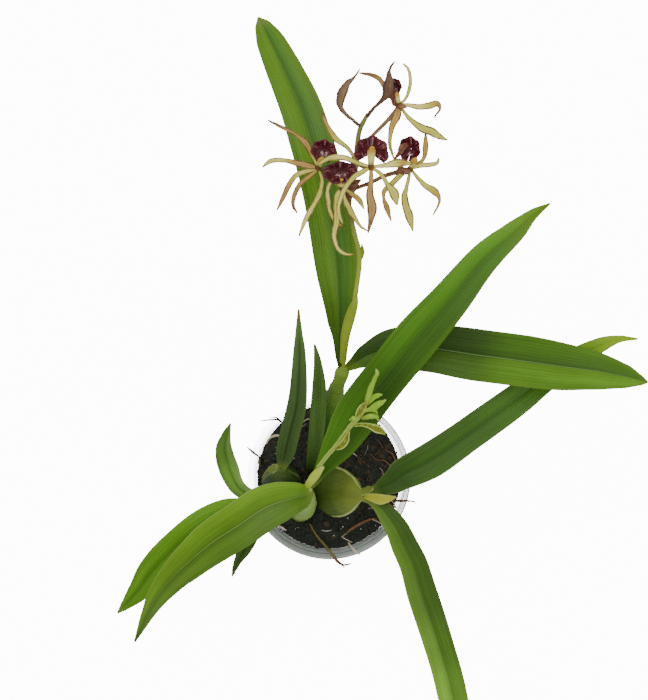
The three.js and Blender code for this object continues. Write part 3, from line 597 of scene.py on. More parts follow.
@dataclass(frozen=True)
class BarkFinish:
    """Moist bark and peat. Each chip's tint picks black, brown or rust."""

    name: str
    stops: Stops = colours((0.0, 32, 38, 34), (0.5, 54, 57, 48), (0.8, 84, 66, 54), (1.0, 136, 94, 72))
    grain: float = 500.0

    def material(self) -> Material:
        """Make the finish."""
        graph = Graph(self.name)
        place = graph.place()
        grain = graph.noise(place, self.grain, 6.0, 0.7)
        clods = graph.noise(place, self.grain * 0.35, 4.0, 0.6)
        colour = graph.ramp(graph.tint() * 0.7 + clods * 0.6 - 0.18, self.stops)
        colour = graph.shade(colour, 0.45 + grain * 1.1)
        height = grain * 0.6 + clods * 0.4
        return graph.surface(colour, 0.72 + grain * 0.2, (height, 1.0, 0.9), Specular_IOR_Level=0.3)


@dataclass(frozen=True)
class RootFinish:
    """Roots and fibres: the tint runs from near black through rust and olive-tan to pale straw."""

    name: str = "root_fibre"

    def material(self) -> Material:
        """Make the finish."""
        graph = Graph(self.name)
        along, around = graph.uv()
        fibres = graph.streaks((along * 12.0, around * 9.0, graph.tint() * 7.0), 5.0, 0.7)
        stops = colours((0.0, 34, 27, 24), (0.3, 80, 54, 42), (0.5, 140, 98, 74),
                        (0.68, 118, 106, 62), (0.82, 150, 138, 90), (1.0, 226, 216, 196))
        colour = graph.ramp(graph.tint() + (fibres - 0.5) * 0.2, stops)
        colour = graph.shade(colour, 0.5 + fibres * 1.0)
        return graph.surface(colour, 0.68, (fibres, 0.4, 0.8), Specular_IOR_Level=0.25)


@dataclass(frozen=True)
class GritFinish:
    """White grit in the bark mix."""

    colour: Colour = srgb(222, 218, 208)

    def material(self) -> Material:
        """Make the finish."""
        graph = Graph("grit_white")
        pores = graph.noise(graph.place(), 1600.0, 4.0, 0.7)
        colour = graph.mix(pores.step(0.3, 0.6), srgb(150, 138, 124), self.colour)
        return graph.surface(colour, 0.8, (pores, 0.3, 0.8))


@dataclass(frozen=True)
class PotFinish:
    """Thin plastic, clear and scuffed, milky at the rim, with painted shade as dark lines along the rim's
    edges, and the far side of the rim painted washed out by light.
    """

    colour: Colour = srgb(212, 220, 218)
    front: Colour = srgb(182, 190, 184)
    line: Colour = srgb(72, 80, 82)
    wall_cover: float = 0.45
    rim_cover: float = 0.68
    front_cover: float = 0.94
    # How opaque the rim stays on its far side, where it is painted washed out by light.
    washed_out_cover: float = 0.16
    edge_radius: float = 0.0592
    lip_radius: float = 0.0562

    def material(self) -> Material:
        """Make the finish."""
        graph = Graph("pot_plastic")
        place = graph.place()
        x, y, height = (graph.part(place, axis) for axis in "XYZ")
        dust = graph.noise(place, 70.0, 5.0, 0.65)
        scuffs = graph.streaks((x * 60.0, y * 60.0, height * 900.0), 4.0, 0.6)
        radius = (x * x + y * y).root()
        at_rim = height.step(0.097, 0.1)
        # Painted shade: a dark line at the rim's outer edge and one at its inner lip.
        edge = radius.step(self.edge_radius - 0.0002, self.edge_radius + 0.0002)
        lip = (radius - self.lip_radius).size().step(0.0006, 0.0002)
        # The far side of the rim is painted washed out by light: its lines fade and it turns clearer.
        washed_out_side = (y - x).step(0.004, 0.024) * at_rim
        lines = edge.highest(lip * 0.6) * at_rim * (1.0 - washed_out_side * 0.9)
        colour = graph.mix(dust.step(0.42, 0.72) * 0.4, self.colour, srgb(190, 194, 188))
        front = y.step(-0.024, -0.04) * height.step(0.078, 0.09)
        colour = graph.mix(front * 0.9, colour, self.front)
        colour = graph.mix(lines, colour, self.line)
        colour = graph.mix(height.step(0.02, 0.0) * 0.3, colour, srgb(170, 164, 150))
        rim = self.rim_cover + lines * 0.2
        cover = at_rim * (rim - self.wall_cover) + self.wall_cover
        cover = cover - washed_out_side * (self.rim_cover - self.washed_out_cover)
        cover = cover.highest(front * self.front_cover)
        return graph.surface(colour, 0.3 + dust * 0.16 + scuffs * 0.1,
                             (scuffs * 0.6 + dust * 0.4, 0.2, 0.5), Alpha=cover, Specular_IOR_Level=0.5)


@dataclass(frozen=True)
class FloorFinish:
    """The plain pale floor."""

    colour: Colour = (0.9, 0.9, 0.9, 1.0)
    glow: float = 14.0

    def material(self) -> Material:
        """Make the finish."""
        graph = Graph("floor_white")
        return graph.surface(self.colour, 0.9, Emission_Color=self.colour, Emission_Strength=self.glow)


def place_mesh(mesh: bmesh.types.BMesh, name: str) -> bpy.types.Object:
    """Put a mesh in the scene and free its working copy.

    Args:
        mesh: The mesh.
        name: The new object's name.

    Returns:
        The object.
    """
    data = bpy.data.meshes.new(name)
    mesh.to_mesh(data)
    mesh.free()
    made = bpy.data.objects.new(name, data)
    bpy.context.scene.collection.objects.link(made)
    return made


def hand_over(piece: bpy.types.Object, replaces: Sequence[str], smooth: bool = True) -> None:
    """Set a piece's shading and hand it to the frame.

    Args:
        piece: The finished piece.
        replaces: CAD nodes that it stands for.
        smooth: Shade it smoothly.
    """
    faces = piece.data.polygons
    faces.foreach_set("use_smooth", [smooth] * len(faces))
    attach(piece, "root")
    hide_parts(*replaces)
    LOG.info("%s: %d faces", piece.name, len(faces))


class Route:
    """A smooth line through stations of x, y, z, width and perhaps roll, in millimetres and degrees."""

    def __init__(self, stations: Line) -> None:
        """Keep the stations in metres."""
        rows = [tuple(station) + (0.0,) * (5 - len(station)) for station in stations]
        self.places = np.array([row[:3] for row in rows]) * MM
        self.shapes = np.array([(row[3] * MM, row[4]) for row in rows])

    @staticmethod
    def _around(table: np.ndarray, share: float) -> tuple[np.ndarray, ...]:
        """The four table rows round a place on the line, and how far it lies between the middle two."""
        last = len(table) - 1
        place = min(max(share, 0.0), 1.0) * last
        i = min(int(place), last - 1)
        before = table[i - 1] if i > 0 else 2 * table[0] - table[1]
        after = table[i + 2] if i + 2 <= last else 2 * table[last] - table[last - 1]
        return before, table[i], table[i + 1], after, place - i

    @staticmethod
    def _blend(a: np.ndarray, b: np.ndarray, rise_a: np.ndarray, rise_b: np.ndarray,
               w: float) -> np.ndarray:
        """The cubic that leaves a with one slope and reaches b with the other."""
        square = (-3 * a + 3 * b - 2 * rise_a - rise_b) * w ** 2
        return a + rise_a * w + square + (2 * a - 2 * b + rise_a + rise_b) * w ** 3

    def point(self, share: float) -> np.ndarray:
        """The centre line's point at a share of the stations."""
        p0, p1, p2, p3, w = self._around(self.places, share)
        d0, d1, d2 = (math.sqrt(max(float(np.linalg.norm(q - p)), 1e-6))
                      for p, q in ((p0, p1), (p1, p2), (p2, p3)))
        rise_a = ((p1 - p0) / d0 - (p2 - p0) / (d0 + d1) + (p2 - p1) / d1) * d1
        rise_b = ((p2 - p1) / d1 - (p3 - p1) / (d1 + d2) + (p3 - p2) / d2) * d1
        return self._blend(p1, p2, rise_a, rise_b, w)

    def shape(self, share: float) -> tuple[float, float]:
        """Width and roll at a share of the stations."""
        s0, s1, s2, s3, w = self._around(self.shapes, share)
        width, roll = self._blend(s1, s2, 0.4 * (s2 - s0), 0.4 * (s3 - s1), w)
        return float(width), math.radians(float(roll))

    def frames(self, shares: Sequence[float], face: Sequence[float]) -> tuple[np.ndarray, ...]:
        """The line's points with their directions.

        Args:
            shares: Places along the line, from 0 to 1.
            face: Way that the upper side looks to.

        Returns:
            Points, forward, upward and sideways directions, widths, and shares of the length so far.
        """
        rows = []
        face_way = Vector(face).normalized()
        for share in shares:
            near, far = self.point(share - 1e-4), self.point(share + 1e-4)
            forward = Vector(far - near).normalized()
            width, roll = self.shape(share)
            normal = (face_way - forward * face_way.dot(forward)).normalized()
            normal.rotate(Matrix.Rotation(roll, 3, forward))
            rows.append((self.point(share), forward, normal, forward.cross(normal), width))
        points, ahead, up, side, widths = (np.array(column) for column in zip(*rows))
        lengths = np.concatenate([[0.0], np.cumsum(np.linalg.norm(np.diff(points, axis=0), axis=1))])
        return points, ahead, up, side, widths, lengths / lengths[-1]


class Sculpt:
    """One mesh under construction, made of grids that are bent into shape."""

    def __init__(self, name: str) -> None:
        """Start an empty mesh."""
        self.name = name
        self.mesh = bmesh.new()
        self.uv = self.mesh.loops.layers.uv.new("UVMap")
        self.tint = self.mesh.verts.layers.float.new("tint")

    def bend(self, places: np.ndarray, shares: Sequence[float], tints: Sequence[float] = (),
             closed: bool = False, upward: np.ndarray | None = None) -> None:
        """Add a grid, move its points to their places, and map it.

        Args:
            places: Points of the grid, rows by columns by 3, in metres.
            shares: The map's first number for each row, from 0 to 1.
            tints: The tints that the material reads, spread from the first row to the last.
            closed: Join the first and last column, and the points that fall together.
            upward: Way that an open sheet's upper side looks to, near its middle.
        """
        rows, columns = places.shape[0] - 1, places.shape[1] - 1
        tints = tints or (0.0,)
        spread = np.interp(shares, np.linspace(0.0, 1.0, len(tints)), tints)
        made = bmesh.ops.create_grid(self.mesh, x_segments=rows, y_segments=columns, size=1.0)
        for vert in made["verts"]:
            i = round((vert.co.x + 1) / 2 * rows)
            j = round((vert.co.y + 1) / 2 * columns)
            vert.co = places[i, j]
            vert[self.tint] = float(spread[i])
            for loop in vert.link_loops:
                loop[self.uv].uv = (shares[i], j / columns)
        faces = list({face for vert in made["verts"] for face in vert.link_faces})
        if closed:
            bmesh.ops.remove_doubles(self.mesh, verts=made["verts"], dist=MERGE)
            kept = [face for face in faces if face.is_valid]
            bmesh.ops.recalc_face_normals(self.mesh, faces=kept)
        elif upward is not None:
            self._turn_up(faces, places, upward)

    def _turn_up(self, faces: list[bmesh.types.BMFace], places: np.ndarray, upward: np.ndarray) -> None:
        """Turn an open sheet's faces over where they look down."""
        middle = Vector(places[places.shape[0] // 2, places.shape[1] // 2])
        nearest = min(faces, key=lambda face: (face.calc_center_median() - middle).length)
        nearest.normal_update()
        if nearest.normal.dot(Vector(upward)) < 0:
            bmesh.ops.reverse_faces(self.mesh, faces=faces)

    def finish(self, materials: Sequence[Material], slot: str, replaces: Sequence[str],
               thickness: float = 0.0, smooth: bool = True) -> None:
        """Make the piece, give it its finish and hand it to the frame.

        Args:
            materials: Its materials. A second one is for the underside of a sheet with a thickness.
            slot: The record's material slot; not used.
            replaces: CAD nodes that it stands for.
            thickness: Thickness in millimetres that an open sheet gets, or 0.
            smooth: Shade it smoothly.
        """
        piece = place_mesh(self.mesh, self.name)
        for material in materials:
            piece.data.materials.append(material)
        if thickness:
            wall = piece.modifiers.new("thickness", "SOLIDIFY")
            wall.thickness = thickness * MM
            wall.offset = 0.0
            wall.material_offset = len(materials) - 1
        hand_over(piece, replaces, smooth)


@dataclass
class Strap:
    """A strap leaf, segment or bract: a thin sheet along its stations. Lengths are in millimetres."""

    stations: Line
    fold: float = 0.15
    rows: int = 120
    columns: int = 44
    face: Point = (0.0, 0.0, 1.0)
    wave: float = 0.0
    ripples: float = 5.0
    groove: float = 0.0
    ribs: int = 0
    rib_height: float = 0.0
    bulge: float = 0.0
    narrowest: float = 0.6
    phase: float = 0.0

    def build(self, sculpt: Sculpt, *tints: float) -> None:
        """Add the sheet to a mesh.

        Args:
            sculpt: The mesh.
            tints: The tints its material reads, spread from its start to its end.
        """
        shares = np.linspace(0.0, 1.0, self.rows + 1)
        points, _, up, side, widths, lengths = Route(self.stations).frames(shares, self.face)
        half = np.maximum(widths, self.narrowest * MM) / 2
        across = np.linspace(-1.0, 1.0, self.columns + 1)
        lift = self._lift(np.abs(across))[None, :] * half[:, None]
        fullness = np.clip(half / half.max(), 0.0, 1.0)[:, None]
        ends = (np.clip(lengths / 0.12, 0, 1) * np.clip((1 - lengths) / 0.06, 0, 1))[:, None]
        turn = TURN * self.ripples * lengths[:, None] + self.phase + (across[None, :] > 0) * 1.7
        lift = lift + self.wave * MM * across[None, :] ** 2 * np.sin(turn) * ends
        relief = -self.groove * np.exp(-((across / 0.07) ** 2))
        if self.ribs:
            relief = relief + self.rib_height * np.cos(TURN * self.ribs * np.abs(across) / 2)
        lift = lift + relief[None, :] * MM * fullness * ends
        edge = 1.0 + 0.012 * np.sin(TURN * 3.3 * lengths + self.phase)
        reach = across[None, :] * (half * edge)[:, None]
        places = points[:, None, :] + side[:, None, :] * reach[..., None] + up[:, None, :] * lift[..., None]
        sculpt.bend(places, lengths, tints, upward=up[len(up) // 2])

    def _lift(self, distance: np.ndarray) -> np.ndarray:
        """Rise of the section over its middle, as a share of half the width."""
        soft = 0.12
        keel = (np.sqrt(distance ** 2 + soft ** 2) - soft) / (math.sqrt(1 + soft ** 2) - soft)
        return self.fold * keel + self.bulge * np.sin(math.pi * distance)


@dataclass
class Tube:
    """A round or flattened body along its stations, with rounded ends. Lengths are in millimetres."""

    stations: Line
    rows: int = 40
    columns: int = 24
    flat: float = 1.0
    face: Point = (0.0, 0.0, 1.0)
    ridges: int = 0
    ridge_height: float = 0.0
    keel: float = 0.0
    wrinkle: float = 0.0
    grain: float = 0.3
    dome: float = 0.6
    rings: tuple[float, ...] = ()
    cap_steps: int = 4

    def skin(self) -> tuple[np.ndarray, np.ndarray]:
        """Work out the skin.

        Returns:
            Its points, rows by columns by 3, and the share of the length of each row.
        """
        turns = [k / self.cap_steps * math.pi / 2 for k in range(self.cap_steps)]
        along = list(np.linspace(0.0, 1.0, self.rows + 1))
        shares = [0.0] * self.cap_steps + along + [1.0] * self.cap_steps
        narrow = [math.sin(turn) for turn in turns]
        scales = np.array(narrow + [1.0] * (self.rows + 1) + narrow[::-1])
        push = [math.cos(turn) for turn in turns]
        pushes = np.array([-step for step in push] + [0.0] * (self.rows + 1) + push[::-1])
        points, ahead, up, side, widths, lengths = Route(self.stations).frames(shares, self.face)
        radii = widths / 2
        angles = np.linspace(0.0, TURN, self.columns + 1)
        rings = sum(np.exp(-(((lengths - ring) / 0.012) ** 2)) for ring in self.rings)
        swell = 1.0 + 0.09 * rings
        relief = self.ridge_height * MM * np.cos(self.ridges * angles)[None, :] * np.ones((len(radii), 1))
        to_keel = np.abs((angles + TURN / 4) % (TURN / 2) - TURN / 4)
        relief = relief + self.keel * MM * np.exp(-((to_keel / 0.09) ** 2))[None, :]
        centres = points + ahead * (pushes * radii * self.dome)[:, None]
        reach = (radii * swell)[:, None] + relief * np.clip(radii / radii.max(), 0, 1)[:, None]
        reach = reach * scales[:, None]
        out = side[:, None, :] * np.cos(angles)[None, :, None]
        out = out + up[:, None, :] * (np.sin(angles) * self.flat)[None, :, None]
        places = centres[:, None, :] + out * reach[..., None]
        if self.wrinkle:
            self._crease(places, out, scales)
        return places, lengths

    def _crease(self, places: np.ndarray, out: np.ndarray, scales: np.ndarray) -> None:
        """Push the skin in and out by soft noise."""
        for i in range(places.shape[0]):
            for j in range(places.shape[1] - 1):
                push = noise.noise(Vector(places[i, j]) / MM * self.grain)
                places[i, j] += out[i, j] * push * self.wrinkle * MM * scales[i]
            places[i, -1] = places[i, 0]

    def build(self, sculpt: Sculpt, *tints: float) -> None:
        """Add the body to a mesh.

        Args:
            sculpt: The mesh.
            tints: The tints its material reads, spread from its start to its end.
        """
        places, lengths = self.skin()
        sculpt.bend(places, lengths, tints, closed=True)


def rounded(corners: Sequence[tuple[float, float]], radius: float,
            steps: int = 4) -> list[tuple[float, float]]:
    """Round the corners of an open outline.

    Args:
        corners: Its points. The first and last stay as they are.
        radius: How far from each corner the round starts, at most a third of the shorter side.
        steps: Points on each round, less one.

    Returns:
        The rounded outline.
    """
    outline = [corners[0]]
    for before, corner, after in zip(corners, corners[1:], corners[2:]):
        here, back, forth = Vector(corner), Vector(before), Vector(after)
        reach = min(radius, (back - here).length / 3, (forth - here).length / 3)
        start = here + (back - here).normalized() * reach
        end = here + (forth - here).normalized() * reach
        for k in range(steps + 1):
            t = k / steps
            point = start * (1 - t) ** 2 + here * 2 * t * (1 - t) + end * t ** 2
            outline.append((point.x, point.y))
    outline.append(corners[-1])
    return outline


@dataclass
class NurseryPot:
    """The round translucent pot. Lengths are in millimetres."""

    height: float = 105.0
    rim_radius: float = 60.0
    base_radius: float = 43.0
    wall: float = 1.0
    floor: float = 1.2
    rim_band: float = 5.0
    overhang: float = 4.0
    edge: float = 0.8
    drain_radius: float = 4.0
    drain_circle: float = 30.0
    drains: int = 8
    turns: int = 144
    step_heights: tuple[float, ...] = (30.0, 62.0)
    step_depth: float = 0.35

    def inner_radius(self, height: float) -> float:
        """Radius inside the wall at a height."""
        share = height / (self.height - self.rim_band)
        return self.base_radius - self.wall + share * (self.rim_radius - self.overhang - self.base_radius)

    def outline(self) -> list[tuple[float, float]]:
        """The section from the axis outside, over the rim, and back to the axis inside."""
        shoulder = self.height - self.rim_band
        wall_top = self.inner_radius(shoulder) + self.wall
        corners = [(0.0, 0.0), (self.base_radius, 0.0)]
        for height in self.step_heights:
            outside = self.inner_radius(height) + self.wall
            corners += [(outside, height), (outside - self.step_depth, height + self.edge)]
        corners += [
            (wall_top, shoulder - self.wall), (self.rim_radius, shoulder - self.edge / 2),
            (self.rim_radius, self.height), (self.rim_radius - 2 * self.edge, self.height),
            (wall_top + self.wall / 2, shoulder + self.wall), (wall_top - self.wall, shoulder - self.wall),
            (self.inner_radius(self.floor), self.floor), (0.0, self.floor)]
        return rounded(corners, self.edge)

    def build(self) -> None:
        """Spin the section, cut the drains and dress the pot."""
        shell = bmesh.new()
        ring = [shell.verts.new((x * MM, 0.0, z * MM)) for x, z in self.outline()]
        edges = [shell.edges.new(pair) for pair in zip(ring, ring[1:])]
        bmesh.ops.spin(shell, geom=ring + edges, cent=(0, 0, 0), axis=(0, 0, 1), dvec=(0, 0, 0),
                       angle=TURN, steps=self.turns, use_merge=True, use_duplicate=False)
        bmesh.ops.remove_doubles(shell, verts=shell.verts[:], dist=MERGE)
        bmesh.ops.recalc_face_normals(shell, faces=shell.faces[:])
        pot = place_mesh(shell, "pot_body")
        self._drill(pot)
        pot.data.materials.clear()
        pot.data.materials.append(PotFinish().material())
        hand_over(pot, ["pot"])

    def _drill(self, pot: bpy.types.Object) -> None:
        """Cut the drain holes through the floor."""
        bits = bmesh.new()
        for k in range(self.drains):
            angle = TURN * k / self.drains
            place = Vector((math.cos(angle), math.sin(angle), 0.0)) * self.drain_circle * MM
            place.z = self.floor / 2 * MM
            bmesh.ops.create_cone(bits, cap_ends=True, segments=32, radius1=self.drain_radius * MM,
                                  radius2=self.drain_radius * MM, depth=4 * self.floor * MM,
                                  matrix=Matrix.Translation(place))
        cutter = place_mesh(bits, "drain_bits")
        change = pot.modifiers.new("drains", "BOOLEAN")
        change.operation = "DIFFERENCE"
        change.solver = "EXACT"
        change.object = cutter
        evaluated = pot.evaluated_get(bpy.context.evaluated_depsgraph_get())
        pot.data = bpy.data.meshes.new_from_object(evaluated)
        pot.modifiers.clear()
        bpy.data.objects.remove(cutter)


@dataclass
class BarkMix:
    """The bark, peat, fibres and grit that fill the pot. Lengths are in millimetres."""

    pot: NurseryPot
    level: float = 93.0
    gap: float = 0.5
    relief: float = 2.6
    shoulder: float = 0.8
    body_tint: float = 0.35
    chips: int = 1400
    hairs: int = 150
    straw: float = 0.95
    grits: int = 60
    seed: int = 11

    def __post_init__(self) -> None:
        """Start the random draws."""
        self.draw = random.Random(self.seed)
        self.reach = self.pot.inner_radius(self.level) - self.gap

    def top(self, x: float, y: float) -> float:
        """Height of the surface at a place."""
        edge = min(math.hypot(x, y) / self.reach, 1.0)
        lumps = noise.fractal(Vector((x, y, 0.0)) * 0.11, 1.0, 2.1, 4)
        return self.level + self.relief * lumps * (1 - 0.6 * edge ** 6) - 1.2 * edge ** 10

    def build(self) -> None:
        """Build the body, its chips, fibres and grit."""
        self._body()
        self._chips()
        self._hairs()
        self._grit()

    def _body(self) -> None:
        """The mix itself, with a lumpy top and a side that fills the pot."""
        rings, sides, side_rows = 60, 200, 40
        low, high = self.pot.floor + self.gap, self.level - self.shoulder
        rows: list[tuple[float, float | None]] = [(self.reach * i / rings, None) for i in range(rings)]
        for k in range(side_rows + 1):
            height = high - (high - low) * k / side_rows
            rows.append((self.pot.inner_radius(height) - self.gap, height))
        rows.append((0.0, low))
        places = np.zeros((len(rows), sides + 1, 3))
        for i, (radius, height) in enumerate(rows):
            for j in range(sides + 1):
                angle = TURN * (j % sides) / sides
                x, y = radius * math.cos(angle), radius * math.sin(angle)
                z = self.top(x, y) if height is None else height
                if height is not None and radius > 0:
                    dent = 1 - 0.9 * abs(noise.noise(Vector((x, y, z)) * 0.3)) / radius
                    x, y = x * dent, y * dent
                places[i, j] = (x * MM, y * MM, z * MM)
        sculpt = Sculpt("bark_mix")
        sculpt.bend(places, np.linspace(0, 1, len(rows)), (self.body_tint,), closed=True)
        sculpt.finish([BarkFinish("bark_body").material()], "bark_mix", ["soil"])

    def _spot(self, margin: float) -> tuple[float, float]:
        """A random place on the surface, kept off the wall."""
        radius = (self.reach - margin) * math.sqrt(self.draw.random())
        angle = self.draw.uniform(0, TURN)
        return radius * math.cos(angle), radius * math.sin(angle)

    def _chips(self) -> None:
        """Bark chips that lie on the surface."""
        sculpt = Sculpt("bark_chips")
        for _ in range(self.chips):
            long = self.draw.uniform(1.2, 5.5) * self.draw.uniform(0.6, 1.0)
            size = Vector((long, long * self.draw.uniform(0.35, 0.8), long * self.draw.uniform(0.18, 0.4)))
            x, y = self._spot(long * 0.3)
            place = Vector((x, y, self.top(x, y) + size.z * self.draw.uniform(0.0, 0.7))) * MM
            turn = Euler((self.draw.gauss(0, 0.35), self.draw.gauss(0, 0.35), self.draw.uniform(0, TURN)))
            stretch = Matrix.Diagonal((*(size * MM), 1.0))
            shape = Matrix.Translation(place) @ turn.to_matrix().to_4x4() @ stretch
            made = bmesh.ops.create_cube(sculpt.mesh, size=1.0)["verts"]
            edges = list({edge for vert in made for edge in vert.link_edges})
            cut = bmesh.ops.bevel(sculpt.mesh, geom=edges, offset=self.draw.uniform(0.12, 0.24), segments=1,
                                  profile=0.5, affect="EDGES", material=-1)
            verts = list({vert for face in cut["faces"] for vert in face.verts})
            tint = min(max(self.draw.gauss(0.38, 0.2) + 0.34 * max(x, y, 0.0) / self.reach, 0.0), 1.0)
            for vert in verts:
                vert.co += Vector([self.draw.uniform(-0.12, 0.12) for _ in range(3)])
                vert[sculpt.tint] = tint
            bmesh.ops.transform(sculpt.mesh, matrix=shape, verts=verts)
        sculpt.finish([BarkFinish("bark_chip", grain=900.0).material()], "bark_mix", ["soil"], smooth=False)

    def _hairs(self) -> None:
        """Thin fibres, rustier towards the right of the pot and every sixth one pale, and the litter."""
        sculpt = Sculpt("bark_fibres")
        for k in range(self.hairs):
            x, y = self._spot(5.0)
            heading = self.draw.uniform(0, TURN)
            bend = self.draw.gauss(0, 0.35)
            length = self.draw.uniform(3.0, 13.0)
            steps = 4
            width = self.draw.uniform(0.25, 0.6)
            stations = []
            for i in range(steps + 1):
                lift = self.draw.uniform(0.5, 1.8)
                if math.hypot(x, y) > self.reach - 1.5:
                    break
                stations.append((x, y, self.top(x, y) + lift, width * (1 - 0.5 * i / steps)))
                heading += bend + self.draw.gauss(0, 0.25)
                x += length / steps * math.cos(heading)
                y += length / steps * math.sin(heading)
            if len(stations) < 3:
                continue
            rust = 0.22 + 0.36 * max(stations[0][0], 0.0) / self.reach
            tint = self.straw if k % 6 == 0 else min(max(self.draw.gauss(rust, 0.16), 0.05), self.straw)
            Tube(stations, rows=9, columns=5, cap_steps=1).build(sculpt, tint)
        for stations, tint in LITTER:
            Tube(stations, rows=14, columns=7, wrinkle=0.15, grain=0.8).build(sculpt, tint)
        sculpt.finish([RootFinish("bark_fibre").material()], "root", ["soil"])

    def _grit(self) -> None:
        """Small white grains."""
        sculpt = Sculpt("bark_grit")
        for _ in range(self.grits):
            x, y = self._spot(2.0)
            size = self.draw.uniform(0.25, 0.75)
            place = Matrix.Translation(Vector((x, y, self.top(x, y) + size * 0.7)) * MM)
            breadth = size * self.draw.uniform(0.6, 1.0)
            stretch = Matrix.Diagonal((size * MM, breadth * MM, size * 0.7 * MM, 1.0))
            made = bmesh.ops.create_icosphere(sculpt.mesh, subdivisions=1, radius=1.0)["verts"]
            for vert in made:
                vert.co *= self.draw.uniform(0.75, 1.15)
            bmesh.ops.transform(sculpt.mesh, matrix=place @ stretch, verts=made)
        sculpt.finish([GritFinish().material()], "bark_mix", ["soil"], smooth=False)


@dataclass
class Bulb:
    """A fleshy bulb, from its foot in the bark to its neck."""

    name: str
    stations: Line
    finish: BulbFinish
    flat: float = 1.0
    face: Point = (0.0, 1.0, 0.0)
    rings: tuple[float, ...] = ()
    wrinkle: float = 0.5
    keel: float = 0.4

    def build(self) -> None:
        """Build and dress the bulb."""
        sculpt = Sculpt(f"{self.name}_flesh")
        Tube(self.stations, rows=80, columns=112, flat=self.flat, face=self.face, ridges=22, keel=self.keel,
             ridge_height=0.14, wrinkle=self.wrinkle, grain=0.12, rings=self.rings).build(sculpt)
        sculpt.finish([self.finish.material()], "bulb", [self.name])


@dataclass
class Leaf:
    """A strap leaf, from its base on the bulb to its tip."""

    name: str
    stations: Line
    finish: LeafFinish
    fold: float = 0.15
    wave: float = 0.45
    ripples: float = 4.0
    bulge: float = 0.035
    thickness: float = 0.7

    def build(self, under: Material, phase: float) -> None:
        """Build and dress the leaf.

        Args:
            under: The underside's material.
            phase: Where its ripples start.
        """
        sculpt = Sculpt(f"{self.name}_blade")
        Strap(self.stations, fold=self.fold, wave=self.wave, ripples=self.ripples, groove=0.45, ribs=7,
              rib_height=0.06, bulge=self.bulge, phase=phase).build(sculpt)
        sculpt.finish([self.finish.material(), under], "leaf", [self.name], thickness=self.thickness)


@dataclass
class FlowerStem:
    """The flower stem with its stalks, its node bract and the spathe at its foot."""

    stem: Line
    stalks: dict[str, Line]
    knots: Sequence[Line]
    bract: Line
    spathe: Line
    blush: dict[str, float]

    def build(self) -> None:
        """Build and dress the stem, its stalks, knots, bract and spathe."""
        sculpt = Sculpt("flower_stem_green")
        Tube(self.stem, rows=150, columns=20, ridges=5, ridge_height=0.05, rings=(0.36, 0.6, 0.74),
             wrinkle=0.2, grain=0.4).build(sculpt)
        for name, stations in self.stalks.items():
            tint = self.blush.get(name, 0.35)
            Tube(stations, rows=30, columns=14, face=(0, 1, 0), wrinkle=0.15, grain=0.5).build(sculpt, tint)
        for stations in self.knots:
            Tube(stations, rows=24, columns=20, wrinkle=0.5, grain=0.6).build(sculpt, 1.0)
        sculpt.finish([StemFinish().material()], "stem", ["flower_stem"])
        papery = SheathFinish("stem_sheath", srgb(144, 162, 46), srgb(168, 178, 78)).material()
        leafy = Sculpt("stem_bract")
        Strap(self.bract, rows=24, columns=12, fold=0.3).build(leafy)
        leafy.finish([papery], "sheath", ["flower_stem"], thickness=0.4)
        sleeve = Sculpt("spathe_sheath")
        tube = Tube(self.spathe, rows=50, columns=40, flat=0.8, ridges=14, ridge_height=0.1, dome=0.3)
        tube.build(sleeve)
        sleeve.finish([papery], "sheath", ["spathe"])


@dataclass(frozen=True)
class Segment:
    """One narrow segment of a bloom: its stations, and its tones from the heart to the tip."""

    stations: Line
    tones: tuple[Tone, ...]


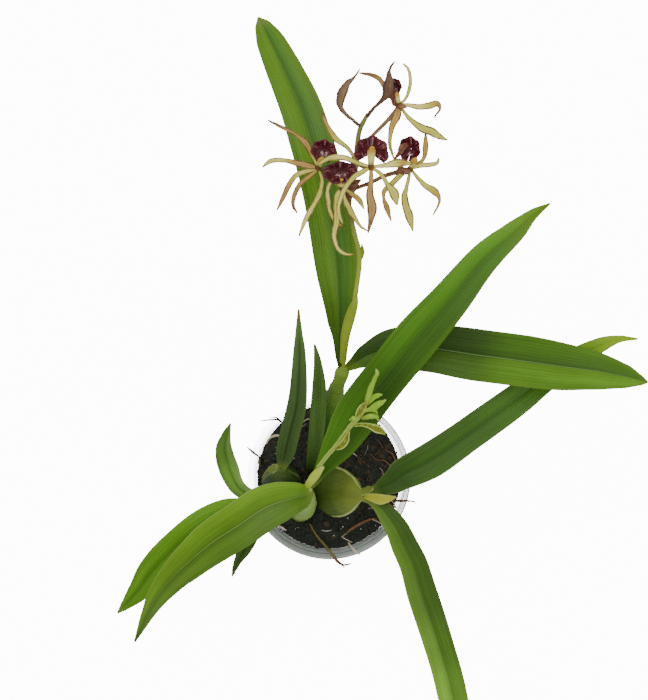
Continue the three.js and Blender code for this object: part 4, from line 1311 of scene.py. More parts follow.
@dataclass
class Bloom:
    """One bloom: narrow segments round a small heart, a column, and a shell-shaped lip above it."""

    name: str
    heart: Station
    column: Line
    segments: Sequence[Segment]
    lip_base: Station
    lip_tip: Point
    lip_face: Point
    lip_width: float
    lip_length: float
    lip_depth: float
    spout: Line = ()
    mouth: float = 0.12
    sweep: float = 128.0
    rays: int = 13

    def build(self, tepal: Material, column: Material, lip: Material) -> None:
        """Build and dress the bloom.

        Args:
            tepal: Material of the segments.
            column: Material of the column.
            lip: Material of the lip.
        """
        self._segments(tepal)
        self._column(column)
        self._lip(lip)

    def _segments(self, material: Material) -> None:
        """The narrow segments and the heart they grow from."""
        sculpt = Sculpt(f"bloom_{self.name}_segments")
        for k, segment in enumerate(self.segments):
            tones = [tone.value for tone in segment.tones]
            Strap(segment.stations, fold=0.42, rows=72, columns=16, wave=0.35, ripples=4.0, groove=0.2,
                  bulge=0.16, narrowest=0.4, phase=1.9 * k).build(sculpt, *tones)
        sculpt.finish([material], "petal", [f"bloom_{self.name}"], thickness=0.45)
        heart = Sculpt(f"bloom_{self.name}_heart")
        x, y, z = self.heart
        swelling = [(x, y, z - 2, 1.8), (x, y, z - 1, 4), (x, y, z + 1, 4), (x, y, z + 2, 2)]
        Tube(swelling, rows=14, columns=20, face=(0, 1, 0)).build(heart, Tone.BROWN.value)
        heart.finish([material], "petal", [f"bloom_{self.name}"])

    def _column(self, material: Material) -> None:
        """The column, broad and winged towards its cap."""
        sculpt = Sculpt(f"bloom_{self.name}_column")
        Tube(self.column, rows=36, columns=28, flat=0.8, face=(0, 1, 0.3), ridges=3, ridge_height=0.22,
             rings=(0.78,)).build(sculpt)
        sculpt.finish([material], "petal", [f"bloom_{self.name}"])

    def _lip(self, material: Material) -> None:
        """The shell, ribbed from its mouth to its scalloped edge."""
        ahead = Vector(self.lip_tip).normalized()
        out = Vector(self.lip_face)
        out = (out - ahead * out.dot(ahead)).normalized()
        across = out.cross(ahead)
        rows, columns = 120, 24
        half = math.radians(self.sweep)
        places = np.zeros((rows + 1, columns + 1, 3))
        for i in range(rows + 1):
            angle = half * (2 * i / rows - 1)
            for j in range(columns + 1):
                v = j / columns
                reach = self.mouth + (1 - self.mouth) * v
                scallop = 1 + v * (0.05 * math.cos(7 * angle) + 0.012 * math.cos(self.rays * 2 * angle))
                rise = self.lip_depth * (reach ** 2 - 0.55) + 0.16 * v * math.cos(self.rays * 2 * angle)
                rise -= 0.9 * max(v - 0.82, 0.0) * self.lip_depth
                side = self.lip_width / 2 * reach * scallop * math.sin(angle)
                far = self.lip_length / 2 * reach * scallop * math.cos(angle)
                places[i, j] = (Vector(self.lip_base) + across * side + ahead * far + out * rise) * MM
        sculpt = Sculpt(f"lip_{self.name}_shell")
        sculpt.bend(places, np.linspace(0, 1, rows + 1), upward=np.array(out))
        if self.spout:
            Strap(self.spout, rows=40, columns=14, fold=0.35, bulge=0.2).build(sculpt, 1.0)
        sculpt.finish([material], "lip", [f"lip_{self.name}"], thickness=0.5)


@dataclass
class Bud:
    """A bud with a long beak."""

    name: str
    stations: Line
    finish: BudFinish

    def build(self) -> None:
        """Build and dress the bud."""
        sculpt = Sculpt(f"{self.name}_husk")
        Tube(self.stations, rows=80, columns=36, ridges=6, ridge_height=0.22, wrinkle=0.4,
             grain=0.35).build(sculpt)
        sculpt.finish([self.finish.material()], "bud", [self.name])


@dataclass
class YoungSpike:
    """The young green spike: sheath, stem, bracts and a cluster of small buds."""

    sheath: Line
    stem: Line
    buds: Sequence[Line]
    bracts: Sequence[Line]
    stem_tint: float = 0.1
    bud_tint: float = 0.45
    bract_tint: float = 0.9

    def build(self) -> None:
        """Build and dress the spike."""
        sleeve = Sculpt("young_sheath_sleeve")
        tube = Tube(self.sheath, rows=50, columns=40, flat=0.7, ridges=12, ridge_height=0.1, dome=0.3)
        tube.build(sleeve)
        papery = SheathFinish("young_sheath_pale", srgb(190, 210, 70), srgb(206, 208, 118))
        sleeve.finish([papery.material()], "sheath", ["young_sheath"])
        finish = SpikeFinish().material()
        sculpt = Sculpt("young_spike_buds")
        Tube(self.stem, rows=60, columns=18, ridges=4, ridge_height=0.08, rings=(0.3, 0.62), wrinkle=0.2,
             grain=0.5).build(sculpt, self.stem_tint)
        for k, stations in enumerate(self.buds):
            Tube(stations, rows=28, columns=18, face=(1, 1, 0), ridges=3, ridge_height=0.25, wrinkle=0.3,
                 grain=0.5).build(sculpt, self.bud_tint + 0.05 * (k % 3))
        sculpt.finish([finish], "young_spike", ["young_spike"])
        leafy = Sculpt("young_spike_bracts")
        for stations in self.bracts:
            bract = Strap(stations, rows=30, columns=14, fold=0.3, wave=0.3, bulge=0.12)
            bract.build(leafy, self.bract_tint)
        leafy.finish([finish], "young_spike", ["young_spike"], thickness=0.4)


@dataclass
class Studio:
    """Floor, soft lights and the camera that looks straight down as the photograph does."""

    image: tuple[int, int] = (648, 700)
    sensor: float = 36.0
    focal_pixels: float = 1494.6
    camera_mm: Point = (-3.7, 94.2, 1205.0)
    floor_half: float = 6.0
    surround: float = 0.55
    aim: Point = (0.0, 0.05, 0.15)
    lamps: tuple[tuple[str, Point, float, float], ...] = (
        ("overhead", (-0.35, 0.45, 1.7), 1.2, 14.0), ("side", (1.3, -0.9, 1.1), 0.9, 7.0))

    def build(self) -> None:
        """Make the floor, the lights and the camera."""
        self._floor()
        self._lights()
        self._camera()

    def _floor(self) -> None:
        """A wide plain floor at the pot's base."""
        sheet = bmesh.new()
        bmesh.ops.create_grid(sheet, x_segments=1, y_segments=1, size=self.floor_half)
        floor = place_mesh(sheet, "floor")
        floor.data.materials.append(FloorFinish().material())
        floor.visible_diffuse = False
        floor.visible_glossy = False

    def _lights(self) -> None:
        """A wide overhead light, a side light and an even white surround."""
        world = bpy.data.worlds.new("surround")
        world.use_nodes = True
        sockets = world.node_tree.nodes["Background"].inputs
        sockets["Color"].default_value = (1.0, 1.0, 1.0, 1.0)
        sockets["Strength"].default_value = self.surround
        bpy.context.scene.world = world
        for lamp in self.lamps:
            self._area(*lamp)

    def _area(self, name: str, place: Point, size: float, power: float) -> None:
        """A square light that looks at the plant.

        Args:
            name: Its name.
            place: Where it hangs, in metres.
            size: Its side, in metres.
            power: Its power in watts.
        """
        lamp = bpy.data.lights.new(name, "AREA")
        lamp.size = size
        lamp.energy = power
        holder = bpy.data.objects.new(name, lamp)
        holder.location = place
        way = Vector(self.aim) - Vector(place)
        holder.rotation_euler = way.to_track_quat("-Z", "Y").to_euler()
        bpy.context.scene.collection.objects.link(holder)

    def _camera(self) -> None:
        """The camera, level with the image's up along +Y."""
        lens = bpy.data.cameras.new("camera")
        lens.sensor_width = self.sensor
        lens.lens = self.focal_pixels / max(self.image) * self.sensor
        camera = bpy.data.objects.new("camera", lens)
        camera.location = Vector(self.camera_mm) * MM
        bpy.context.scene.collection.objects.link(camera)
        bpy.context.scene.camera = camera


# Bulbs
BULBS = (
    Bulb("bulb_north", [
        (-6.5, 13, 84, 10), (-6, 18, 93, 15), (-2, 36, 118, 19), (1, 53, 146, 17), (4.5, 66, 169, 11),
        (6, 71, 177, 9), (9, 79, 185, 10), (10, 82, 188, 6)],
        BulbFinish("bulb_dark", srgb(66, 96, 30), srgb(66, 110, 34), srgb(124, 154, 48), edge_share=0.2,
            neck_from=0.56), rings=(0.58, 0.72, 0.84)),
    Bulb("bulb_centre", [
        (-20, -29, 84, 11), (-21, -25.5, 93, 16), (-20, -19.5, 115, 20.5), (-18, -12.5, 140, 17),
        (-16, -5, 159, 9), (-15.5, -2, 165, 7)],
        BulbFinish("bulb_glaucous", srgb(138, 168, 82), srgb(152, 186, 94), srgb(170, 190, 96))),
    Bulb("bulb_east", [
        (-5, -11, 84, 20), (-3, -10.5, 95, 29), (3, -9.3, 112, 35), (10, -8.4, 130, 33),
        (16.5, -7.8, 143, 24.5), (21, -8, 149, 12.5), (23, -8, 151, 8)],
        BulbFinish("bulb_olive", srgb(96, 118, 48), srgb(94, 118, 46), srgb(134, 148, 50), painted_rim_light=0.26,
            edge=srgb(186, 198, 122), edge_share=0.95, neck_from=0.66), flat=0.64, face=(1, 0, 0),
        keel=0.7),
    Bulb("bulb_west", [
        (-36.5, -7.5, 84, 18), (-35.5, -4, 98, 27.5), (-34.5, 2, 116, 25), (-34, 7, 128, 11),
        (-34, 8, 131, 7.5)],
        BulbFinish("bulb_forest", srgb(58, 76, 36), srgb(52, 74, 36), srgb(84, 106, 48), edge_share=0.3),
        flat=0.75, face=(0, 1, 0)),
    Bulb("bulb_far_west", [
        (-41, -22, 84, 8), (-42.5, -21, 96, 12), (-45.5, -19, 108, 7.5), (-46.5, -18, 112, 5)],
        BulbFinish("bulb_small", srgb(86, 104, 44), srgb(92, 118, 50), srgb(140, 158, 74))),
)

# Leaves. Each finish's bands paint the lit and shaded halves of the fold and its sheen over the leaf's own
# greens, and its light stops paint light and shade along the leaf.
LEAVES = (
    Leaf("leaf_north", [
        (8.5, 81, 186.5, 4), (6.6, 90, 192, 5), (6.6, 101, 197.5, 8.4), (7, 114, 205, 17),
        (5, 147, 222, 28), (0.5, 179, 233, 29.5), (-5, 204, 239, 29), (-12, 229, 242, 28),
        (-19, 251, 241, 26.5), (-28, 272, 237, 24), (-38, 294, 230, 19), (-44, 307, 224, 10.5),
        (-47, 313, 222, 1.3)],
        LeafFinish("leaf_sunlit",
            colours((0.0, 84, 126, 26), (0.3, 96, 134, 34), (0.46, 92, 134, 40), (0.54, 66, 104, 32),
                (0.64, 76, 118, 38), (0.8, 84, 124, 36), (1.0, 100, 134, 32)), light=(
            (0.0, 0.5), (0.12, 0.62), (0.28, 0.95), (0.7, 1.05), (0.85, 1.15), (1.0, 1.2)),
            base=srgb(64, 88, 26), tip=srgb(128, 142, 60), tip_from=0.95, rib=srgb(106, 140, 60),
            rib_share=0.35, margin=srgb(66, 96, 30)), fold=0.2),
    Leaf("leaf_east", [
        (10.5, 81, 186, 4), (16, 84.5, 189, 8), (25, 90, 192, 16), (42, 95, 196, 27.5), (70, 95, 198, 32),
        (98, 91, 198, 35.5), (129, 87, 195, 35), (157, 83, 190, 32.5), (181, 80, 184, 26.5),
        (203, 76, 178, 16.5), (215, 73, 174, 7), (220, 72, 172, 1.4)],
        # Its upper half is painted in shade and its lower half painted lit, over its own green.
        LeafFinish("leaf_half_shaded",
            colours((0.0, 80, 122, 26), (0.2, 70, 108, 22), (0.48, 62, 98, 18), (0.53, 92, 134, 32),
                (0.8, 96, 142, 34), (1.0, 90, 130, 28)), light=(
            (0.0, 0.7), (0.08, 0.5), (0.4, 0.52), (0.56, 0.98), (0.85, 1.15), (1.0, 1.36)),
            base=srgb(112, 132, 44), base_to=0.06, tip=srgb(112, 140, 40), tip_from=0.96,
            rib=srgb(112, 144, 82), rib_share=0.8, margin=srgb(110, 142, 58), margin_shares=(0.3, 0.3)),
        fold=0.12),
    Leaf("leaf_northeast", [
        (-14.5, -2, 163.5, 4), (-9.5, 4.5, 171, 6.5), (-4, 14, 178, 11.5), (7, 31, 190, 22.5),
        (19, 52, 203, 29), (38, 78, 217, 29.5), (56, 101, 229, 29.5), (78, 127, 240, 25.5),
        (99, 153, 247, 20), (118, 170, 250, 14), (130, 181, 250, 7), (141, 188, 248, 1.3)],
        LeafFinish("leaf_meadow",
            colours((0.0, 84, 130, 28), (0.25, 78, 126, 26), (0.46, 70, 116, 22), (0.54, 60, 98, 20),
                (0.8, 62, 100, 20), (1.0, 74, 114, 24)), light=(
            (0.0, 0.95), (0.2, 0.9), (0.38, 0.68), (0.56, 0.98), (0.72, 1.2), (0.86, 1.5), (1.0, 1.7)),
            base=srgb(140, 162, 74), base_to=0.08, tip=srgb(122, 148, 38), tip_from=0.8, tip_share=0.5,
            rib=srgb(96, 134, 48), rib_share=0.4, margin=srgb(134, 160, 76), margin_shares=(0.65, 0.1),
            margin_to=0.32), fold=0.18),
    Leaf("leaf_low_east", [
        (23.6, -5.8, 150.5, 4), (27.5, -4.8, 153.5, 5), (32.5, -3.6, 156.5, 7), (38.4, -1.2, 159, 12.5),
        (45.5, 2.9, 161, 17.5), (51.5, 7.6, 162.5, 21.8), (71, 18, 166, 25), (98, 37, 169, 23.5),
        (130, 60, 169, 22), (152, 77, 168, 19.5), (173, 89, 165, 15.5), (190, 98, 161, 10.5),
        (204, 102, 157, 5), (217, 102, 153, 1.4)],
        LeafFinish("leaf_deep",
            colours((0.0, 66, 100, 28), (0.4, 58, 94, 22), (0.5, 52, 86, 18), (0.6, 58, 94, 20),
                (1.0, 62, 98, 24)), light=(
            (0.0, 0.9), (0.12, 0.7), (0.25, 1.0), (0.4, 1.1), (0.56, 1.45), (0.72, 2.3), (1.0, 3.6)),
            base=srgb(150, 164, 84), base_to=0.07, tip=srgb(160, 190, 34), tip_from=0.72, tip_share=0.95,
            rib=srgb(92, 128, 46), rib_share=0.45, margin=srgb(146, 164, 92), margin_shares=(0.9, 0.9),
            margin_to=0.3), fold=0.15),
    Leaf("leaf_southeast", [
        (23.4, -10.6, 150.5, 4), (28, -11.2, 153, 5.5), (32, -12.8, 155, 8), (36, -15.8, 156.5, 10.4),
        (42.5, -23.6, 158.5, 14.4), (47.7, -31.4, 159.5, 16.6), (53, -43.3, 159, 18.9),
        (59, -56, 158, 20.3), (65, -76, 154, 21.5), (72, -97, 148, 21.5), (79, -119, 141, 21.5),
        (85, -139, 133, 21.5), (90, -159, 125, 21), (97, -181, 116, 17), (102, -198, 109, 9.5),
        (104, -208, 105, 1.5)],
        LeafFinish("leaf_arching",
            colours((0.0, 68, 98, 28), (0.36, 66, 98, 26), (0.5, 72, 104, 26), (0.62, 86, 124, 34),
                (1.0, 98, 134, 36)), light=(
            (0.0, 0.95), (0.12, 0.86), (0.4, 0.98), (0.55, 1.4), (0.7, 2.1), (1.0, 2.5)),
            base=srgb(128, 142, 70), base_to=0.08, tip=srgb(128, 160, 50), tip_from=0.7, tip_share=0.5,
            rib=srgb(112, 144, 64), rib_share=0.35, margin=srgb(146, 168, 86), margin_shares=(0.8, 0.8),
            margin_to=0.25), fold=0.15),
    Leaf("leaf_southwest", [
        (-11.6, -5.8, 163.5, 3), (-14, -6, 166.5, 10), (-18, -6.8, 170.5, 16.5), (-24, -7.6, 174.5, 21.5),
        (-34, -10.2, 177, 28), (-46, -15, 178, 31.5), (-62, -26, 176, 31.5), (-81, -39, 169, 30),
        (-97, -53, 159, 26), (-111, -67, 147, 20.5), (-124, -84, 132, 14.5), (-132, -98, 118, 9.5),
        (-144, -122, 97, 1.5)],
        LeafFinish("leaf_bright",
            colours((0.0, 86, 122, 34), (0.26, 92, 128, 34), (0.47, 78, 114, 28), (0.53, 86, 122, 24),
                (0.66, 94, 134, 26), (0.84, 106, 148, 28), (1.0, 110, 150, 32)), light=(
            (0.0, 0.92), (0.12, 0.95), (0.3, 0.95), (0.6, 1.02), (0.76, 1.16), (0.9, 1.0), (1.0, 0.7)),
            base=srgb(126, 152, 58), base_to=0.05, tip=srgb(84, 110, 30), tip_from=0.94,
            rib=srgb(146, 176, 84), rib_share=0.7, margin=srgb(156, 184, 92), margin_shares=(0.2, 0.8)),
        fold=0.1),
    Leaf("leaf_low_southwest", [
        (-46.5, -18.3, 111, 3.5), (-51, -19.2, 114, 6), (-59, -20, 118, 13), (-75, -24, 125, 21.5),
        (-93, -34, 130, 24.5), (-114, -52, 124, 24.5), (-129, -68, 115, 22), (-141, -84, 106, 15),
        (-151, -95, 99, 7), (-157, -101, 95, 1.5)],
        LeafFinish("leaf_shaded",
            colours((0.0, 92, 140, 26), (0.46, 96, 146, 26), (0.54, 78, 124, 20), (0.75, 100, 150, 26),
                (1.0, 106, 156, 28)), rib_share=0.4, rib=srgb(110, 146, 52), margin=srgb(116, 150, 56)),
        fold=0.15),
    Leaf("leaf_south", [
        (-46, -18.5, 109.5, 3), (-47.5, -25, 112, 5), (-53, -35, 114, 10), (-61, -50, 112, 9.8),
        (-67.6, -62, 104, 5.4), (-72, -74, 94, 1.2)],
        LeafFinish("leaf_short_south", colours((0.0, 76, 104, 34), (0.5, 62, 92, 26), (1.0, 80, 108, 36)),
            rib_share=0.3), fold=0.3),
    Leaf("leaf_west", [
        (-46.5, -17.5, 110.5, 3), (-49, -14, 117, 5), (-57, -11, 126, 9.5), (-66, -3, 136, 11.5),
        (-72, 12, 142, 14.5), (-74, 25, 152, 12), (-72, 35, 158, 6.5), (-69, 43, 162, 1.2)],
        LeafFinish("leaf_short_west",
            colours((0.0, 92, 136, 42), (0.46, 108, 150, 54), (0.54, 90, 132, 46), (0.75, 118, 158, 72),
                (1.0, 136, 166, 90)), light=((0.0, 1.0), (0.55, 1.1), (0.85, 0.8), (1.0, 0.6)),
            rib_share=0.3, margin_shares=(0.5, 0.5), gloss=0.34), fold=0.3),
    Leaf("leaf_spear_west", [
        (-34, 8, 129.5, 4.5), (-33.3, 11.5, 135, 6.5), (-32, 17, 142, 10.5), (-30, 26, 152, 14),
        (-27, 38, 164, 14), (-23, 53, 178, 13.5), (-21, 68, 192, 12), (-20, 92, 216, 8.5),
        (-20, 107, 233, 4.5), (-20, 120, 248, 1.2)],
        LeafFinish("leaf_spear_grey",
            colours((0.0, 78, 106, 52), (0.4, 72, 98, 46), (0.5, 58, 84, 36), (0.6, 66, 92, 38),
                (1.0, 78, 106, 50)), light=((0.0, 0.85), (0.5, 1.0), (0.75, 1.3), (0.92, 2.0), (1.0, 2.2)),
            rib_share=0.0, margin=srgb(104, 126, 70), tip=srgb(150, 112, 66), tip_from=0.9), fold=0.3),
    Leaf("leaf_spear_centre", [
        (-14, 1, 86, 5), (-13, 8, 112, 7.5), (-10, 27, 142, 10.5), (-8, 49, 166, 11), (-7, 70, 184, 9.5),
        (-8, 86, 197, 5.5), (-10, 98, 206, 1.2)],
        LeafFinish("leaf_spear_dark",
            colours((0.0, 74, 102, 40), (0.38, 66, 94, 36), (0.5, 88, 116, 60), (0.62, 66, 94, 36),
                (1.0, 74, 102, 40)), light=((0.0, 0.8), (0.3, 1.1), (0.7, 1.5), (1.0, 1.7)),
            base=srgb(84, 104, 50), rib_share=0.0, margin=srgb(104, 130, 64)), fold=0.4),
)

# Flower stem, its stalks, bract and spathe
STEM = [
    (10, 82, 186.5, 2.7), (9.4, 86.5, 194.5, 2.7), (10.3, 98, 207, 2.7), (13.4, 114, 222, 2.7),
    (17.6, 136, 240, 3), (18.8, 154.5, 255, 3.2), (15.5, 168, 264, 3), (12, 183, 272, 3),
    (12.5, 193.5, 277, 4.2), (15.5, 206.5, 282, 3), (16.5, 219, 286, 3), (18.5, 230, 289, 3.2),
    (23, 238, 292, 2.8)]
STALKS = {
    "middle": [(16, 209, 283, 2.4), (21, 205.8, 294, 2.4), (24.6, 204.9, 300.5, 3)],
    "left": [(14, 201, 280, 2.4), (4, 203, 280.5, 2.4), (-4.5, 205, 284, 2.6), (-7.2, 206, 288, 3)],
    "lower": [(12.5, 193.5, 277, 2.4), (10, 193, 281, 2.4), (7.5, 193.5, 286, 3)],
    "right": [
        (13, 193.5, 277, 2.6), (23.5, 197, 281, 2.5), (35, 202, 284, 2.8), (44.5, 204.3, 284.8, 3),
        (49, 205, 288.6, 3)],
    "top": [
        (17, 222, 286, 2.5), (23.5, 223.5, 288, 2.5), (28, 227.5, 290, 2.4), (34.5, 234, 290, 2.7),
        (40, 240.3, 290.8, 2.8), (42, 243, 295, 3)],
}
BLUSH = {"right": 0.9, "top": 0.7, "lower": 0.8}
KNOTS = (
    [
        (9, 187.8, 277.5, 2.5), (11, 190.5, 280, 6), (13.5, 194.5, 281, 6.2), (16.5, 197.8, 281.5, 4),
        (18.6, 199.5, 281, 1.5)],
    [(40.5, 203.5, 288.5, 2.5), (43.5, 204, 291, 4.4), (46.5, 203.2, 292, 4.2), (49, 203.6, 290.5, 2)],
    [(41.4, 242, 298, 1.8), (43.5, 241.8, 299, 3.2), (46, 241.6, 298.4, 1.8)],
)
STEM_BRACT = [(18.5, 151, 252.5, 3), (20.6, 156, 257, 3), (20.2, 161, 261, 0.9)]
SPATHE = [
    (9.1, 86.2, 194.5, 4.4), (9.6, 94.2, 203.5, 5), (10.6, 104.2, 213, 6.2), (12.9, 113.9, 222, 6.8),
    (15, 121, 229.5, 6), (16.8, 126, 235, 3.8), (17.7, 129, 238.4, 1.2)]

